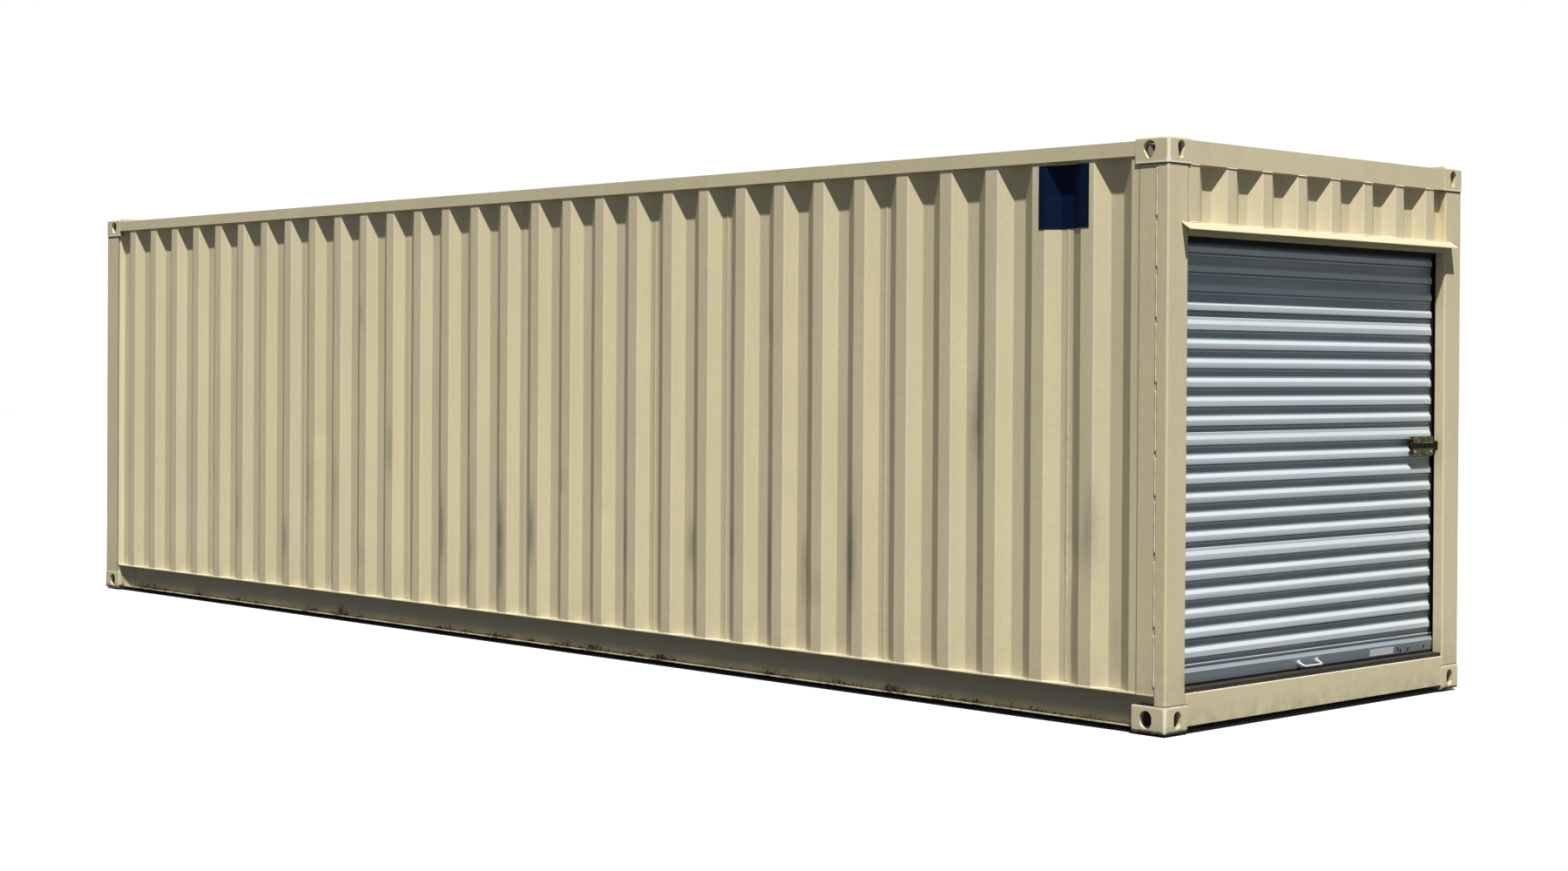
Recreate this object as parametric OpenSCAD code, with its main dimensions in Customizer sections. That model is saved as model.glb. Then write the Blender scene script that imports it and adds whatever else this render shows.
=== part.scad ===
// Thirty-foot steel storage box: corner fittings and posts, corrugated walls, a stamped roof,
// a plywood floor on cross members, and a roll-up shutter under a corrugated header in one end.
// X runs along the length with the shutter end at +X, Y across the width, Z up from the ground.

/* [Overall] */
// Length over the corner fittings
box_length = 9125; // [8000:5:12192]
// Width over the corner fittings
box_width = 2438; // [2300:1:2600]
// Height over the corner fittings
box_height = 2591; // [2450:1:2896]

/* [Corner fittings] */
// Length of a fitting along the box
fitting_length = 178; // [172:1:190]
// Width of a fitting across the box
fitting_width = 162; // [156:1:175]
// Height of a fitting
fitting_height = 118; // [114:1:126]
// Wall of a fitting on its outer faces
fitting_wall = 28; // [20:1:30]
// Wall of a fitting on its inner faces
fitting_back_wall = 10; // [6:1:11]
// Radius on the outer edges of a fitting
fitting_round = 16; // [6:1:18]
// Length of the lock slot in the top or bottom face
slot_length = 124.5; // [110:0.5:127]
// Width of the lock slot
slot_width = 63.5; // [55:0.5:66]
// Distance of the slot centre from the end face
slot_from_end = 103.5; // [99:0.5:104]
// Distance of the slot centre from the side face
slot_from_side = 89.5; // [86:0.5:93]
// Width of the hole in the side face
side_hole_width = 63.5; // [55:0.5:66]
// Width of the hole in the end face
end_hole_width = 51; // [44:0.5:58]
// Height of the holes in the side and end faces
face_hole_height = 79.5; // [70:0.5:82]
// Width of the round foot of the shield-shaped holes in the top fittings
shield_foot = 38; // [32:1:43]

/* [Corner posts] */
// How far posts and end rails stand back from the fitting faces
face_inset = 4; // [2:0.5:8]
// How much shorter a post is than a fitting, along the box
post_short = 18; // [8:1:28]
// Radius on the outer upright edges of the posts
post_round = 10; // [4:1:14]
// Width of a door post's end face, from the side face to the opening
door_post_width = 152; // [130:1:154]
// Depth of the door reveal, from the end face
reveal_depth = 56; // [48:1:70]
// Width of the part of a door post behind the reveal
door_post_rear_width = 100; // [80:1:110]
// Width of a far post's end face, from the side face
far_post_width = 106; // [90:1:130]
// Sheet thickness of the posts
post_sheet = 5; // [3:0.5:8]
// Distance of the lapped seam on a door post's side from the end face
seam_from_end = 62; // [58:1:70]
// Step at that seam
seam_step = 2; // [1:0.5:3]
// Width and depth of the open groove at that seam
seam_groove = 3; // [2:0.5:4]

/* [Rails] */
// How far the side rails stand back from the fitting side faces
rail_inset = 2; // [1:0.5:6]
// Height of the square top side rail
top_rail_size = 62; // [50:1:70]
// Drop of the top side rail below the fitting tops
top_rail_drop = 22; // [12:1:26]
// Wall of the top rails
top_rail_wall = 3; // [2:0.5:5]
// Depth of the top end rails along the box
end_rail_depth = 60; // [50:1:80]
// Drop of the top end rails below the fitting tops
end_rail_drop = 15; // [8:1:20]
// Height of the floor and of the bottom rails' top faces above the ground
floor_level = 168; // [160:1:180]
// Clearance of the bottom side rail above the ground
bottom_rail_clear = 18; // [14:1:24]
// Reach of the bottom side rail's top flange
top_flange = 50; // [46:1:60]
// Reach of the bottom side rail's bottom flange
bottom_flange = 30; // [24:1:45]
// Thickness of the bottom side rail
bottom_rail_sheet = 4.5; // [3:0.5:6]
// Clearance of the bottom end rails above the ground
sill_clear = 26; // [20:1:30]
// Reach of the bottom end rails' lower flange
sill_flange = 60; // [40:1:80]
// Thickness of the bottom end rails
sill_sheet = 5; // [4:0.5:8]
// Length of the bent plate that closes the bottom side rail at the far fitting
closer_length = 155; // [120:5:300]
// Run of that plate's short steep part
closer_steep_run = 16; // [10:1:30]
// Depth of that steep part
closer_steep_depth = 17; // [10:1:25]

/* [Walls] */
// Sheet thickness of the walls and the header
wall_sheet = 2; // [1.5:0.1:3]
// How far the outer ribs stand back from the fitting faces
rib_inset = 6; // [4:0.5:9]
// Depth of the side wall corrugation
rib_depth = 36; // [30:1:38]
// Width of an outer rib
rib_outer = 72; // [64:1:80]
// Run of the slope beside a rib
rib_slope = 68; // [60:1:74]
// Number of ribs along a side wall
rib_count = 32; // [26:1:32]
// Run of the steep return at the far post
far_return = 23; // [16:1:32]
// Width of the flat strip beside the door post
near_strip = 40; // [28:1:60]
// Width of the header's first flat, beside the left door post
header_first_flat = 80; // [60:1:90]
// Depth of the far wall's corrugation
far_rib_depth = 45; // [36:1:50]
// Width of the far wall's outer ribs
far_rib_outer = 110; // [90:1:120]
// Run of the far wall's steep slopes
far_rib_slope = 18; // [14:1:24]
// Number of ribs across the far wall
far_rib_count = 9; // [7:1:9]

/* [Roof] */
// Sheet thickness of the roof
roof_sheet_t = 2; // [1.5:0.1:3]
// Depth of the stamped troughs
trough_depth = 20; // [12:1:24]
// Width of a trough at its mouth
trough_mouth = 118; // [100:1:130]
// Width of a trough at its foot
trough_foot = 91; // [70:1:98]
// Spacing of the troughs
trough_pitch = 209; // [180:1:240]
// Flat margin at the ends of the roof
roof_end_margin = 330; // [250:1:450]
// Flat margin along the sides of the roof
roof_side_margin = 150; // [120:1:220]

/* [Floor] */
// Thickness of the plywood
plywood = 28; // [21:1:30]
// Joint between plywood sheets
floor_joint = 2; // [1:0.5:4]
// Number of plywood sheets along the floor
floor_sheets = 8; // [6:1:10]
// Number of cross members
member_count = 29; // [20:1:34]
// Width of a cross member's flanges
member_flange = 45; // [35:1:50]
// Thickness of a cross member
member_sheet = 4; // [3:0.5:5]

/* [Door opening] */
// Distance of the opening's head below the fitting tops
head_drop = 427; // [390:1:540]
// Height of the lintel
lintel_height = 55; // [45:1:60]
// Wall of the lintel
lintel_wall = 3; // [2:0.5:5]
// Reach of the drip cap in front of the fitting faces
cap_reach = 40; // [25:1:60]
// Fall of the drip cap from back to front
cap_fall = 30; // [20:1:40]
// Thickness of the drip cap
cap_sheet = 3; // [2:0.5:4]
// Distance of the drip cap's ends from the side faces
cap_from_side = 100; // [70:1:120]
// Height of the threshold bar on the sill
threshold_height = 18; // [12:1:24]
// Sheet thickness of the threshold bar
threshold_sheet = 5; // [3:0.5:6]
// Distance of the threshold bar's front from the end face
threshold_from_end = 14; // [10:1:20]
// Depth of the threshold bar along the box
threshold_depth = 100; // [90:1:120]
// Thickness of the head seal
seal_sheet = 3; // [2:0.5:4]
// Length of the head seal below the lintel
head_seal_drop = 25; // [18:1:40]

/* [Shutter] */
// Distance of the curtain's crests from the end face
curtain_from_end = 64; // [62:1:72]
// Sheet thickness of the curtain
curtain_sheet = 1.2; // [0.8:0.1:2]
// Spacing of the curtain's ribs
slat_pitch = 85; // [75:1:95]
// Height of the sloping face above a crest
slat_slope = 18; // [12:1:22]
// Height of a crest
slat_crest = 24; // [18:1:28]
// Height of the return under a crest
slat_return = 6; // [4:1:9]
// Depth of a rib
slat_depth = 13; // [9:1:15]
// How far the curtain runs up behind the lintel
curtain_above_head = 120; // [60:1:150]
// How far the curtain's edges reach into the guides
curtain_in_guide = 38; // [28:1:42]
// Sheet thickness of the guides
guide_sheet = 3; // [2:0.5:3.5]
// Depth of the guides along the box
guide_depth = 44; // [40:1:52]
// Height of the bottom bar
bar_height = 65; // [58:1:85]
// Height of the bottom bar's sloping top face
bar_slope = 16; // [10:1:20]
// Thickness of the bottom bar
bar_depth = 18; // [17:1:19]
// How far the foot of the bottom bar's face stands back from its top
bar_lean = 8; // [2:1:9]
// Wall of the bottom bar
bar_wall = 2.5; // [2:0.5:3]
// Height of the hem that the bottom bar laps up the curtain with
hem_height = 16; // [10:1:24]
// Reach of the lip along that hem's top
hem_lip = 7; // [5:1:10]
// Height of the rubber under the bottom bar
foot_seal = 12; // [6:1:16]

/* [Latch and handle] */
// Which valley of the curtain the latch lies over, counted from the bottom bar
latch_slat = 11; // [6:1:16]
// Length of the latch
latch_length = 182; // [160:1:200]
// Height of the latch
latch_height = 94; // [80:1:110]
// Sheet thickness of the latch
latch_sheet = 2.5; // [2:0.5:4]
// Distance of the latch's end from the reveal
latch_from_reveal = 40; // [30:1:60]
// Height of the slot between the latch's lips
latch_slot = 26; // [18:1:28]
// Height of the feet that the latch stands on the curtain with
latch_foot = 14; // [8:1:16]
// Height of the bolt
bolt_height = 34; // [30:1:40]
// Thickness of the bolt
bolt_thick = 8; // [6:0.5:9]
// Distance of the bolt's front from the end face
bolt_from_end = 42; // [38:1:44]
// How far the bolt enters the door post
bolt_throw = 20; // [12:1:26]
// How far the bolt's round end stands out of the latch
bolt_tail = 16; // [10:1:30]
// Travel of the bolt
bolt_travel = 45; // [30:1:55]
// Running clearance round the bolt
bolt_clearance = 0.3; // [0.2:0.05:1]
// Clearance of the keeper notch round the bolt
keeper_clearance = 5; // [5:0.5:8]
// Diameter of the bolt's finger knob
knob_size = 11; // [8:1:14]
// Reach of the knob in front of the bolt
knob_reach = 10; // [6:1:16]
// Length of the lift handle between its legs
handle_length = 150; // [110:1:180]
// Diameter of the lift handle's bar
handle_bar = 11; // [8:1:14]
// Radius of the lift handle's bends
handle_bend = 14; // [10:1:20]
// Slope of the lift handle below the level, in degrees
handle_droop = 15; // [0:1:25]
// Diameter of the lift handle's foot plates
handle_foot = 26; // [18:1:34]
// Thickness of those foot plates
handle_foot_sheet = 6; // [6:1:8]
// Distance of the handle's middle from the box's middle
handle_offset = -29; // [-60:1:60]
// Height of the handle's feet above the bottom bar's foot
handle_rise = 25; // [20:1:30]
// Reach of the handle in front of the bottom bar
handle_reach = 34; // [28:1:40]

/* [Hidden] */
$fn = 48;
eps = 1;
half_length = box_length / 2;
half_width = box_width / 2;
left = -1;
right = 1;
door = 1;
far = -1;
paint = "#c9bd97";
zinc = "#aab4bb";
steel_dark = "#3d352c";
rubber = "#1c1c1d";
bronze = "#6b5536";

post_depth = fitting_length - post_short;
post_bottom = fitting_height;
post_top = box_height - fitting_height;
top_rail_bottom = box_height - top_rail_drop - top_rail_size;
top_rail_top = box_height - top_rail_drop;
end_rail_height = fitting_height - end_rail_drop;
end_rail_bottom = box_height - fitting_height;
web_back = rail_inset + top_flange;
web_inner = web_back + bottom_rail_sheet;
member_height = floor_level - plywood - bottom_rail_clear;

wall_start = post_depth - 1;
wall_end = box_length - post_depth;
rib_pitch = (wall_end - near_strip - wall_start - far_return + rib_outer + rib_slope) / rib_count;
rib_inner = rib_pitch - rib_outer - 2 * rib_slope;
first_rib = wall_start + far_return + rib_inner + rib_slope;
rib_back = rib_inset + rib_depth;

head_level = box_height - head_drop;
cap_back_level = head_level + lintel_height;
curtain_back = curtain_from_end + slat_depth;
curtain_foot = floor_level + threshold_height + foot_seal;
curtain_edge = door_post_width - curtain_in_guide;
bar_top = curtain_foot + bar_height;
slat_flat = slat_pitch - slat_slope - slat_crest - slat_return;
guide_front = reveal_depth;
bolt_back = bolt_from_end + bolt_thick;
bolt_tip = door_post_width - bolt_throw;
latch_right = door_post_width + latch_from_reveal;
latch_left = latch_right + latch_length;
latch_level = bar_top + latch_slat * slat_pitch + (slat_flat + slat_return - slat_slope) / 2;

// Places children at one corner: x runs inward from the end face, y inward from the side face
module corner(end, side) {
    translate([end * half_length, side * half_width, 0])
        mirror([end > 0 ? 1 : 0, 0, 0])
            mirror([0, side > 0 ? 1 : 0, 0])
                children();
}

// Places children along one side: x runs from the far end, y inward from the side face
module along_side(side) {
    translate([-half_length, side * half_width, 0])
        mirror([0, side > 0 ? 1 : 0, 0])
            children();
}

// Places children on one end: x runs inward from the end face, y across from the middle
module across_end(end) {
    translate([end * half_length, 0, 0])
        mirror([end > 0 ? 1 : 0, 0, 0])
            children();
}

// Stands a profile drawn in x and z upright and carries it along y from one value to another
module carry_y(from, to) {
    translate([0, to, 0])
        rotate([90, 0, 0])
            linear_extrude(to - from)
                children();
}

// Stands a profile drawn in y and z upright and carries it along x from one value to another
module carry_x(from, to) {
    translate([from, 0, 0])
        rotate([90, 0, 90])
            linear_extrude(to - from)
                children();
}

// Rectangle with its corner at the origin rounded
module rounded_corner(w, h, r) {
    translate([r, r])
        circle(r);
    translate([r, 0])
        square([w - r, h]);
    translate([0, r])
        square([w, h - r]);
}

// Upright oval hole
module oval(w, h) {
    for (s = [-1, 1])
        translate([0, s * (h - w) / 2])
            circle(w / 2);
    square([w, h - w], center = true);
}

// Shield-shaped hole: round at the top, its sides running straight in to a smaller round foot
module shield(w, h) {
    big = w / 2;
    small = shield_foot / 2;
    high = h / 2 - big;
    low = small - h / 2;
    lean = asin((big - small) / (high - low));
    across = 0.99 * cos(lean);
    down = 0.99 * sin(lean);
    translate([0, high])
        circle(big);
    translate([0, low])
        circle(small);
    polygon([
        [-big * across, high - big * down], [-small * across, low - small * down],
        [small * across, low - small * down], [big * across, high - big * down]
    ]);
}

// Hollow corner fitting with its lock slot downward and its outer corner at the origin
module fitting_body(shielded) {
    difference() {
        intersection() {
            linear_extrude(fitting_height)
                rounded_corner(fitting_length, fitting_width, fitting_round);
            carry_y(0, fitting_width)
                rounded_corner(fitting_length, fitting_height, fitting_round);
            carry_x(0, fitting_length)
                rounded_corner(fitting_width, fitting_height, fitting_round);
        }
        translate([fitting_wall, fitting_wall, fitting_wall])
            cube([
                fitting_length - fitting_wall - fitting_back_wall,
                fitting_width - fitting_wall - fitting_back_wall,
                fitting_height - fitting_wall - fitting_back_wall
            ]);
        translate([slot_from_end, slot_from_side, -eps])
            rotate(90)
                linear_extrude(fitting_wall + 2 * eps)
                    oval(slot_width, slot_length);
        carry_y(-eps, fitting_wall + eps)
            translate([slot_from_end, fitting_height / 2])
                face_hole(side_hole_width, shielded);
        carry_x(-eps, fitting_wall + eps)
            translate([slot_from_side, fitting_height / 2])
                face_hole(end_hole_width, shielded);
    }
}

// Hole in a fitting's side or end face; a top fitting is turned over, so its shield is too
module face_hole(w, shielded) {
    if (shielded)
        mirror([0, 1])
            shield(w, face_hole_height);
    else
        oval(w, face_hole_height);
}

module fitting_bottom(end, side) {
    color(paint)
        corner(end, side)
            fitting_body(false);
}

module fitting_top(end, side) {
    color(paint)
        corner(end, side)
            translate([0, 0, box_height])
                mirror([0, 0, 1])
                    fitting_body(true);
}

// Folded door post: a box behind the end face and a narrower box behind the reveal, with a lapped seam
module door_post_section() {
    difference() {
        union() {
            polygon([
                [face_inset, face_inset + post_round], [face_inset + post_round, face_inset],
                [seam_from_end, face_inset], [seam_from_end, face_inset + seam_groove],
                [seam_from_end + seam_groove, face_inset + seam_groove],
                [seam_from_end + seam_groove, face_inset + seam_step],
                [post_depth, face_inset + seam_step], [post_depth, door_post_rear_width],
                [reveal_depth, door_post_rear_width], [reveal_depth, door_post_width],
                [face_inset + post_round, door_post_width], [face_inset, door_post_width - post_round]
            ]);
            for (y = [face_inset + post_round, door_post_width - post_round])
                translate([face_inset + post_round, y])
                    circle(post_round);
        }
        inner = face_inset + post_sheet;
        polygon([
            [inner, inner + seam_step], [post_depth - post_sheet, inner + seam_step],
            [post_depth - post_sheet, door_post_rear_width - post_sheet],
            [reveal_depth - post_sheet, door_post_rear_width - post_sheet],
            [reveal_depth - post_sheet, door_post_width - post_sheet],
            [inner, door_post_width - post_sheet]
        ]);
    }
}

// The rear of the post stands on the bottom side rail, which runs on over the fitting; the keeper is a notch
module door_post(side, keeper) {
    color(paint)
        corner(door, side)
            difference() {
                translate([0, 0, post_bottom])
                    linear_extrude(post_top - post_bottom)
                        door_post_section();
                translate([seam_from_end, 0, post_bottom - eps])
                    cube([post_depth, web_inner, floor_level - post_bottom + eps]);
                if (keeper)
                    translate([
                        bolt_from_end - keeper_clearance,
                        bolt_tip - keeper_clearance,
                        latch_level - bolt_height / 2 - keeper_clearance
                    ])
                        cube([
                            reveal_depth - bolt_from_end + keeper_clearance + eps,
                            bolt_throw + keeper_clearance + eps,
                            bolt_height + 2 * keeper_clearance
                        ]);
            }
}

module far_post(side) {
    color(paint)
        corner(far, side)
            translate([0, 0, post_bottom])
                linear_extrude(post_top - post_bottom)
                    difference() {
                        translate([face_inset, face_inset])
                            rounded_corner(wall_start - face_inset, far_post_width - face_inset, post_round);
                        translate([face_inset + post_sheet, face_inset + post_sheet])
                            square([
                                wall_start - face_inset - 2 * post_sheet,
                                far_post_width - face_inset - 2 * post_sheet
                            ]);
                    }
}

// Square tube between the top fittings
module top_side_rail(side) {
    color(paint)
        along_side(side)
            carry_x(fitting_length, box_length - fitting_length)
                translate([rail_inset, top_rail_bottom])
                    difference() {
                        square(top_rail_size);
                        translate([top_rail_wall, top_rail_wall])
                            square(top_rail_size - 2 * top_rail_wall);
                    }
}

// Channel open outward; its top runs on over the door fitting to the post's seam
module bottom_side_rail(side) {
    color(paint)
        along_side(side) {
            carry_x(fitting_length, box_length - fitting_length)
                bottom_rail_section(bottom_rail_clear);
            carry_x(box_length - fitting_length, box_length - seam_from_end)
                intersection() {
                    bottom_rail_section(bottom_rail_clear);
                    translate([0, fitting_height])
                        square([web_inner, floor_level]);
                }
        }
}

module bottom_rail_section(foot) {
    translate([web_back, foot])
        square([bottom_rail_sheet, floor_level - foot]);
    translate([rail_inset, floor_level - bottom_rail_sheet])
        square([top_flange, bottom_rail_sheet]);
    translate([web_back - bottom_flange, foot])
        square([bottom_flange, bottom_rail_sheet]);
}

// Plate bent back from the far fitting's face to the rail's web, closing the rail's channel
module rail_closer(side) {
    start = rail_inset + closer_steep_depth;
    line = [
        [fitting_length, rail_inset], [fitting_length + closer_steep_run, start],
        [fitting_length + closer_length, web_back - bottom_rail_sheet]
    ];
    color(paint)
        along_side(side)
            translate([0, 0, bottom_rail_clear + bottom_rail_sheet])
                linear_extrude(floor_level - bottom_rail_clear - 2 * bottom_rail_sheet)
                    bent_sheet(line, bottom_rail_sheet);
}

// Box rail between the top fittings of one end
module top_end_rail(end) {
    reach = half_width - fitting_width;
    color(paint)
        across_end(end)
            carry_y(-reach, reach)
                translate([face_inset, end_rail_bottom])
                    difference() {
                        square([end_rail_depth, end_rail_height]);
                        translate([top_rail_wall, top_rail_wall])
                            square([end_rail_depth - 2 * top_rail_wall, end_rail_height - 2 * top_rail_wall]);
                    }
}

// Channel rail under one end: between the fittings below their tops, between the posts above
module bottom_end_rail(end, post_width) {
    low_reach = half_width - fitting_width;
    high_reach = half_width - post_width;
    color(paint)
        across_end(end) {
            carry_y(-low_reach, low_reach)
                sill_section();
            for (s = [left, right])
                carry_y(min(s * low_reach, s * high_reach), max(s * low_reach, s * high_reach))
                    intersection() {
                        sill_section();
                        translate([0, fitting_height])
                            square([box_length, floor_level]);
                    }
        }
}

module sill_section() {
    translate([face_inset, sill_clear])
        square([sill_sheet, floor_level - sill_clear]);
    translate([face_inset, floor_level - sill_sheet])
        square([post_depth - face_inset, sill_sheet]);
    translate([face_inset, sill_clear])
        square([sill_flange, sill_sheet]);
}

// Outer line of a run of ribs, as pairs of distance along and depth, from the slope into each rib
function rib_line(count, first, pitch, outer, slope, front, back) = [
    for (i = [0:count - 1])
        let (a = first + i * pitch)
            each [[a - slope, back], [a, front], [a + outer, front], [a + outer + slope, back]]
];

// Bent sheet that follows a line, with its thickness set inward
module bent_sheet(line, thick) {
    inner = [for (i = [len(line) - 1:-1:0]) [line[i][0], line[i][1] + thick]];
    polygon(concat(line, inner));
}

// Corrugated side wall from the bottom rail's flange to the top rail, notched under the top fittings
module side_wall(side) {
    ribs = rib_line(rib_count - 1, first_rib, rib_pitch, rib_outer, rib_slope, rib_inset, rib_back);
    last_rib = first_rib + (rib_count - 1) * rib_pitch;
    line = concat(
        [[wall_start, rib_inset], [wall_start + far_return, rib_back]],
        ribs,
        [[last_rib - rib_slope, rib_back], [last_rib, rib_inset], [wall_end, rib_inset]]
    );
    color(paint)
        along_side(side) {
            translate([0, 0, floor_level])
                linear_extrude(post_top - floor_level)
                    bent_sheet(line, wall_sheet);
            translate([0, 0, post_top])
                linear_extrude(top_rail_bottom - post_top)
                    intersection() {
                        bent_sheet(line, wall_sheet);
                        translate([fitting_length, 0])
                            square([box_length - 2 * fitting_length, rib_back + wall_sheet]);
                    }
        }
}

// Closed corrugated wall between the far posts
module far_wall() {
    reach = half_width - far_post_width;
    pitch = (2 * reach - far_rib_outer) / far_rib_count;
    first = -reach + (pitch - far_rib_outer) / 2 + far_rib_outer / 2;
    back = rib_inset + far_rib_depth;
    ribs = rib_line(far_rib_count, first, pitch, far_rib_outer, far_rib_slope, rib_inset, back);
    line = concat([[-reach, back]], ribs, [[reach, back]]);
    color(paint)
        across_end(far)
            translate([0, 0, floor_level])
                linear_extrude(end_rail_bottom - floor_level)
                    mirror([1, -1])
                        bent_sheet(line, wall_sheet);
}

// Offcut of the side wall sheet over the opening, cut to fit between the door posts
module header_panel() {
    reach = half_width - door_post_width;
    first = -reach + header_first_flat - rib_outer;
    count = ceil(2 * reach / rib_pitch) + 1;
    ribs = rib_line(count, first, rib_pitch, rib_outer, rib_slope, rib_inset, rib_back);
    start = [[-reach - rib_pitch, rib_inset], [first, rib_inset]];
    line = concat(start, [for (i = [2:len(ribs) - 1]) ribs[i]]);
    color(paint)
        across_end(door)
            translate([0, 0, cap_back_level])
                linear_extrude(end_rail_bottom - cap_back_level)
                    mirror([1, -1])
                        intersection() {
                            bent_sheet(line, wall_sheet);
                            translate([-reach, 0])
                                square([2 * reach, rib_back + wall_sheet]);
                        }
}

// Stamped sheet between the end rails, notched round the fittings and lying on the side rails
module roof() {
    plate_half = half_length - face_inset - end_rail_depth;
    trough_count = floor((2 * plate_half - 2 * roof_end_margin) / trough_pitch) + 1;
    color(paint)
        difference() {
            union() {
                linear_extrude_at(top_rail_top, roof_sheet_t)
                    roof_outline(plate_half);
                troughs(trough_count, 0);
            }
            troughs(trough_count, roof_sheet_t);
        }
}

module roof_outline(plate_half) {
    square([2 * (half_length - fitting_length), box_width - 2 * rail_inset], center = true);
    square([2 * plate_half, box_width - 2 * fitting_width], center = true);
}

module linear_extrude_at(level, height) {
    translate([0, 0, level])
        linear_extrude(height)
            children();
}

// Row of troughs with sloping sides and ends, as solids reaching up to the sheet; raised by lift
module troughs(count, lift) {
    span = (count - 1) * trough_pitch / 2;
    end_half = half_width - roof_side_margin;
    side_fall = (trough_mouth - trough_foot) / 2;
    top = top_rail_top + roof_sheet_t + (lift > 0 ? eps : -eps);
    foot = top_rail_top - trough_depth + lift;
    rise = top - foot;
    spread = side_fall * rise / trough_depth;
    intersection() {
        carry_y(-half_width, half_width)
            for (i = [0:count - 1])
                translate([i * trough_pitch - span, 0])
                    polygon([
                        [-trough_foot / 2 + lift / 2, foot], [trough_foot / 2 - lift / 2, foot],
                        [trough_foot / 2 + spread - lift / 2, top],
                        [-trough_foot / 2 - spread + lift / 2, top]
                    ]);
        carry_x(-half_length, half_length)
            polygon([
                [-end_half + trough_depth + lift / 2, foot], [end_half - trough_depth - lift / 2, foot],
                [end_half - trough_depth + rise - lift / 2, top],
                [-end_half + trough_depth - rise + lift / 2, top]
            ]);
    }
}

// Plywood sheets between the sills, with open joints
module floor_boards() {
    run = box_length - 2 * post_depth;
    sheet_run = (run - (floor_sheets - 1) * floor_joint) / floor_sheets;
    color("#a5835a")
        for (i = [0:floor_sheets - 1])
            translate([
                -half_length + post_depth + i * (sheet_run + floor_joint),
                -half_width + web_inner,
                floor_level - plywood
            ])
                cube([sheet_run, box_width - 2 * web_inner, plywood]);
}

// Channels across the box between the bottom side rails, carrying the floor
module cross_members() {
    span = box_length - 2 * fitting_length - 2 * member_flange;
    spacing = span / (member_count - 1);
    color("#4a463e")
        for (i = [0:member_count - 1])
            translate([-span / 2 + i * spacing - member_flange / 2, 0, bottom_rail_clear])
                carry_y(-half_width + web_inner, half_width - web_inner) {
                    square([member_sheet, member_height]);
                    square([member_flange, member_sheet]);
                    translate([0, member_height - member_sheet])
                        square([member_flange, member_sheet]);
                }
}

// Box section over the opening
module lintel() {
    reach = half_width - door_post_width;
    depth = reveal_depth - face_inset;
    color(paint)
        across_end(door)
            carry_y(-reach, reach)
                translate([face_inset, head_level])
                    difference() {
                        square([depth, lintel_height]);
                        translate([lintel_wall, lintel_wall])
                            square([depth - 2 * lintel_wall, lintel_height - 2 * lintel_wall]);
                    }
}

// Rubber strip behind the lintel that closes the gap over the curtain
module head_seal() {
    reach = half_width - door_post_width;
    color(rubber)
        across_end(door)
            carry_y(-reach, reach)
                translate([reveal_depth, head_level - head_seal_drop])
                    square([seal_sheet, head_seal_drop + lintel_height]);
}

// Sloping plate welded to the posts and lintel that throws rain clear of the curtain
module drip_cap() {
    reach = half_width - cap_from_side;
    color(paint)
        across_end(door)
            carry_y(-reach, reach)
                polygon([
                    [face_inset, cap_back_level], [face_inset, cap_back_level - cap_sheet],
                    [-cap_reach, cap_back_level - cap_fall - cap_sheet],
                    [-cap_reach, cap_back_level - cap_fall]
                ]);
}

// Rusty folded bar on the sill that the curtain closes on
module threshold() {
    reach = half_width - door_post_width;
    color(steel_dark)
        across_end(door)
            carry_y(-reach, reach)
                translate([threshold_from_end, floor_level])
                    difference() {
                        square([threshold_depth, threshold_height]);
                        translate([threshold_sheet, -eps])
                            square([
                                threshold_depth - 2 * threshold_sheet,
                                threshold_height - threshold_sheet + eps
                            ]);
                    }
}

// Ribbed curtain from the bottom bar up behind the lintel, its edges in the guides
module shutter_curtain() {
    reach = half_width - curtain_edge;
    head = head_level + curtain_above_head;
    count = ceil((head - bar_top) / slat_pitch);
    line = [
        for (i = [0:count - 1])
            let (z = bar_top + i * slat_pitch)
                each [
                    [z, curtain_back], [z + slat_flat, curtain_back],
                    [z + slat_flat + slat_return, curtain_from_end],
                    [z + slat_flat + slat_return + slat_crest, curtain_from_end]
                ]
    ];
    top = [bar_top + count * slat_pitch, curtain_back];
    color(zinc)
        across_end(door)
            carry_y(-reach, reach)
                intersection() {
                    mirror([1, -1])
                        bent_sheet(concat(line, [top]), curtain_sheet);
                    translate([curtain_from_end, bar_top])
                        square([slat_depth + curtain_sheet, head - bar_top]);
                }
}

// Stiff hollow bar along the curtain's foot, sloped at the top, with a lipped hem lapped up the curtain
module shutter_bottom_bar() {
    reach = half_width - curtain_edge;
    back = curtain_back + curtain_sheet;
    front = back - bar_depth;
    hem_front = curtain_back - bar_wall;
    hem_top = bar_top + hem_height;
    color(zinc)
        across_end(door)
            carry_y(-reach, reach)
                difference() {
                    polygon([
                        [back, curtain_foot], [front + bar_lean, curtain_foot],
                        [front, bar_top - bar_slope],
                        [hem_front, bar_top], [hem_front, hem_top - bar_wall],
                        [curtain_back - hem_lip, hem_top - bar_wall],
                        [curtain_back - hem_lip, hem_top], [curtain_back, hem_top],
                        [curtain_back, bar_top], [back, bar_top]
                    ]);
                    polygon([
                        [back - bar_wall, curtain_foot + bar_wall],
                        [front + bar_lean + bar_wall, curtain_foot + bar_wall],
                        [front + bar_wall, bar_top - bar_slope - bar_wall],
                        [back - bar_wall, bar_top - 2 * bar_wall]
                    ]);
                }
}

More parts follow.
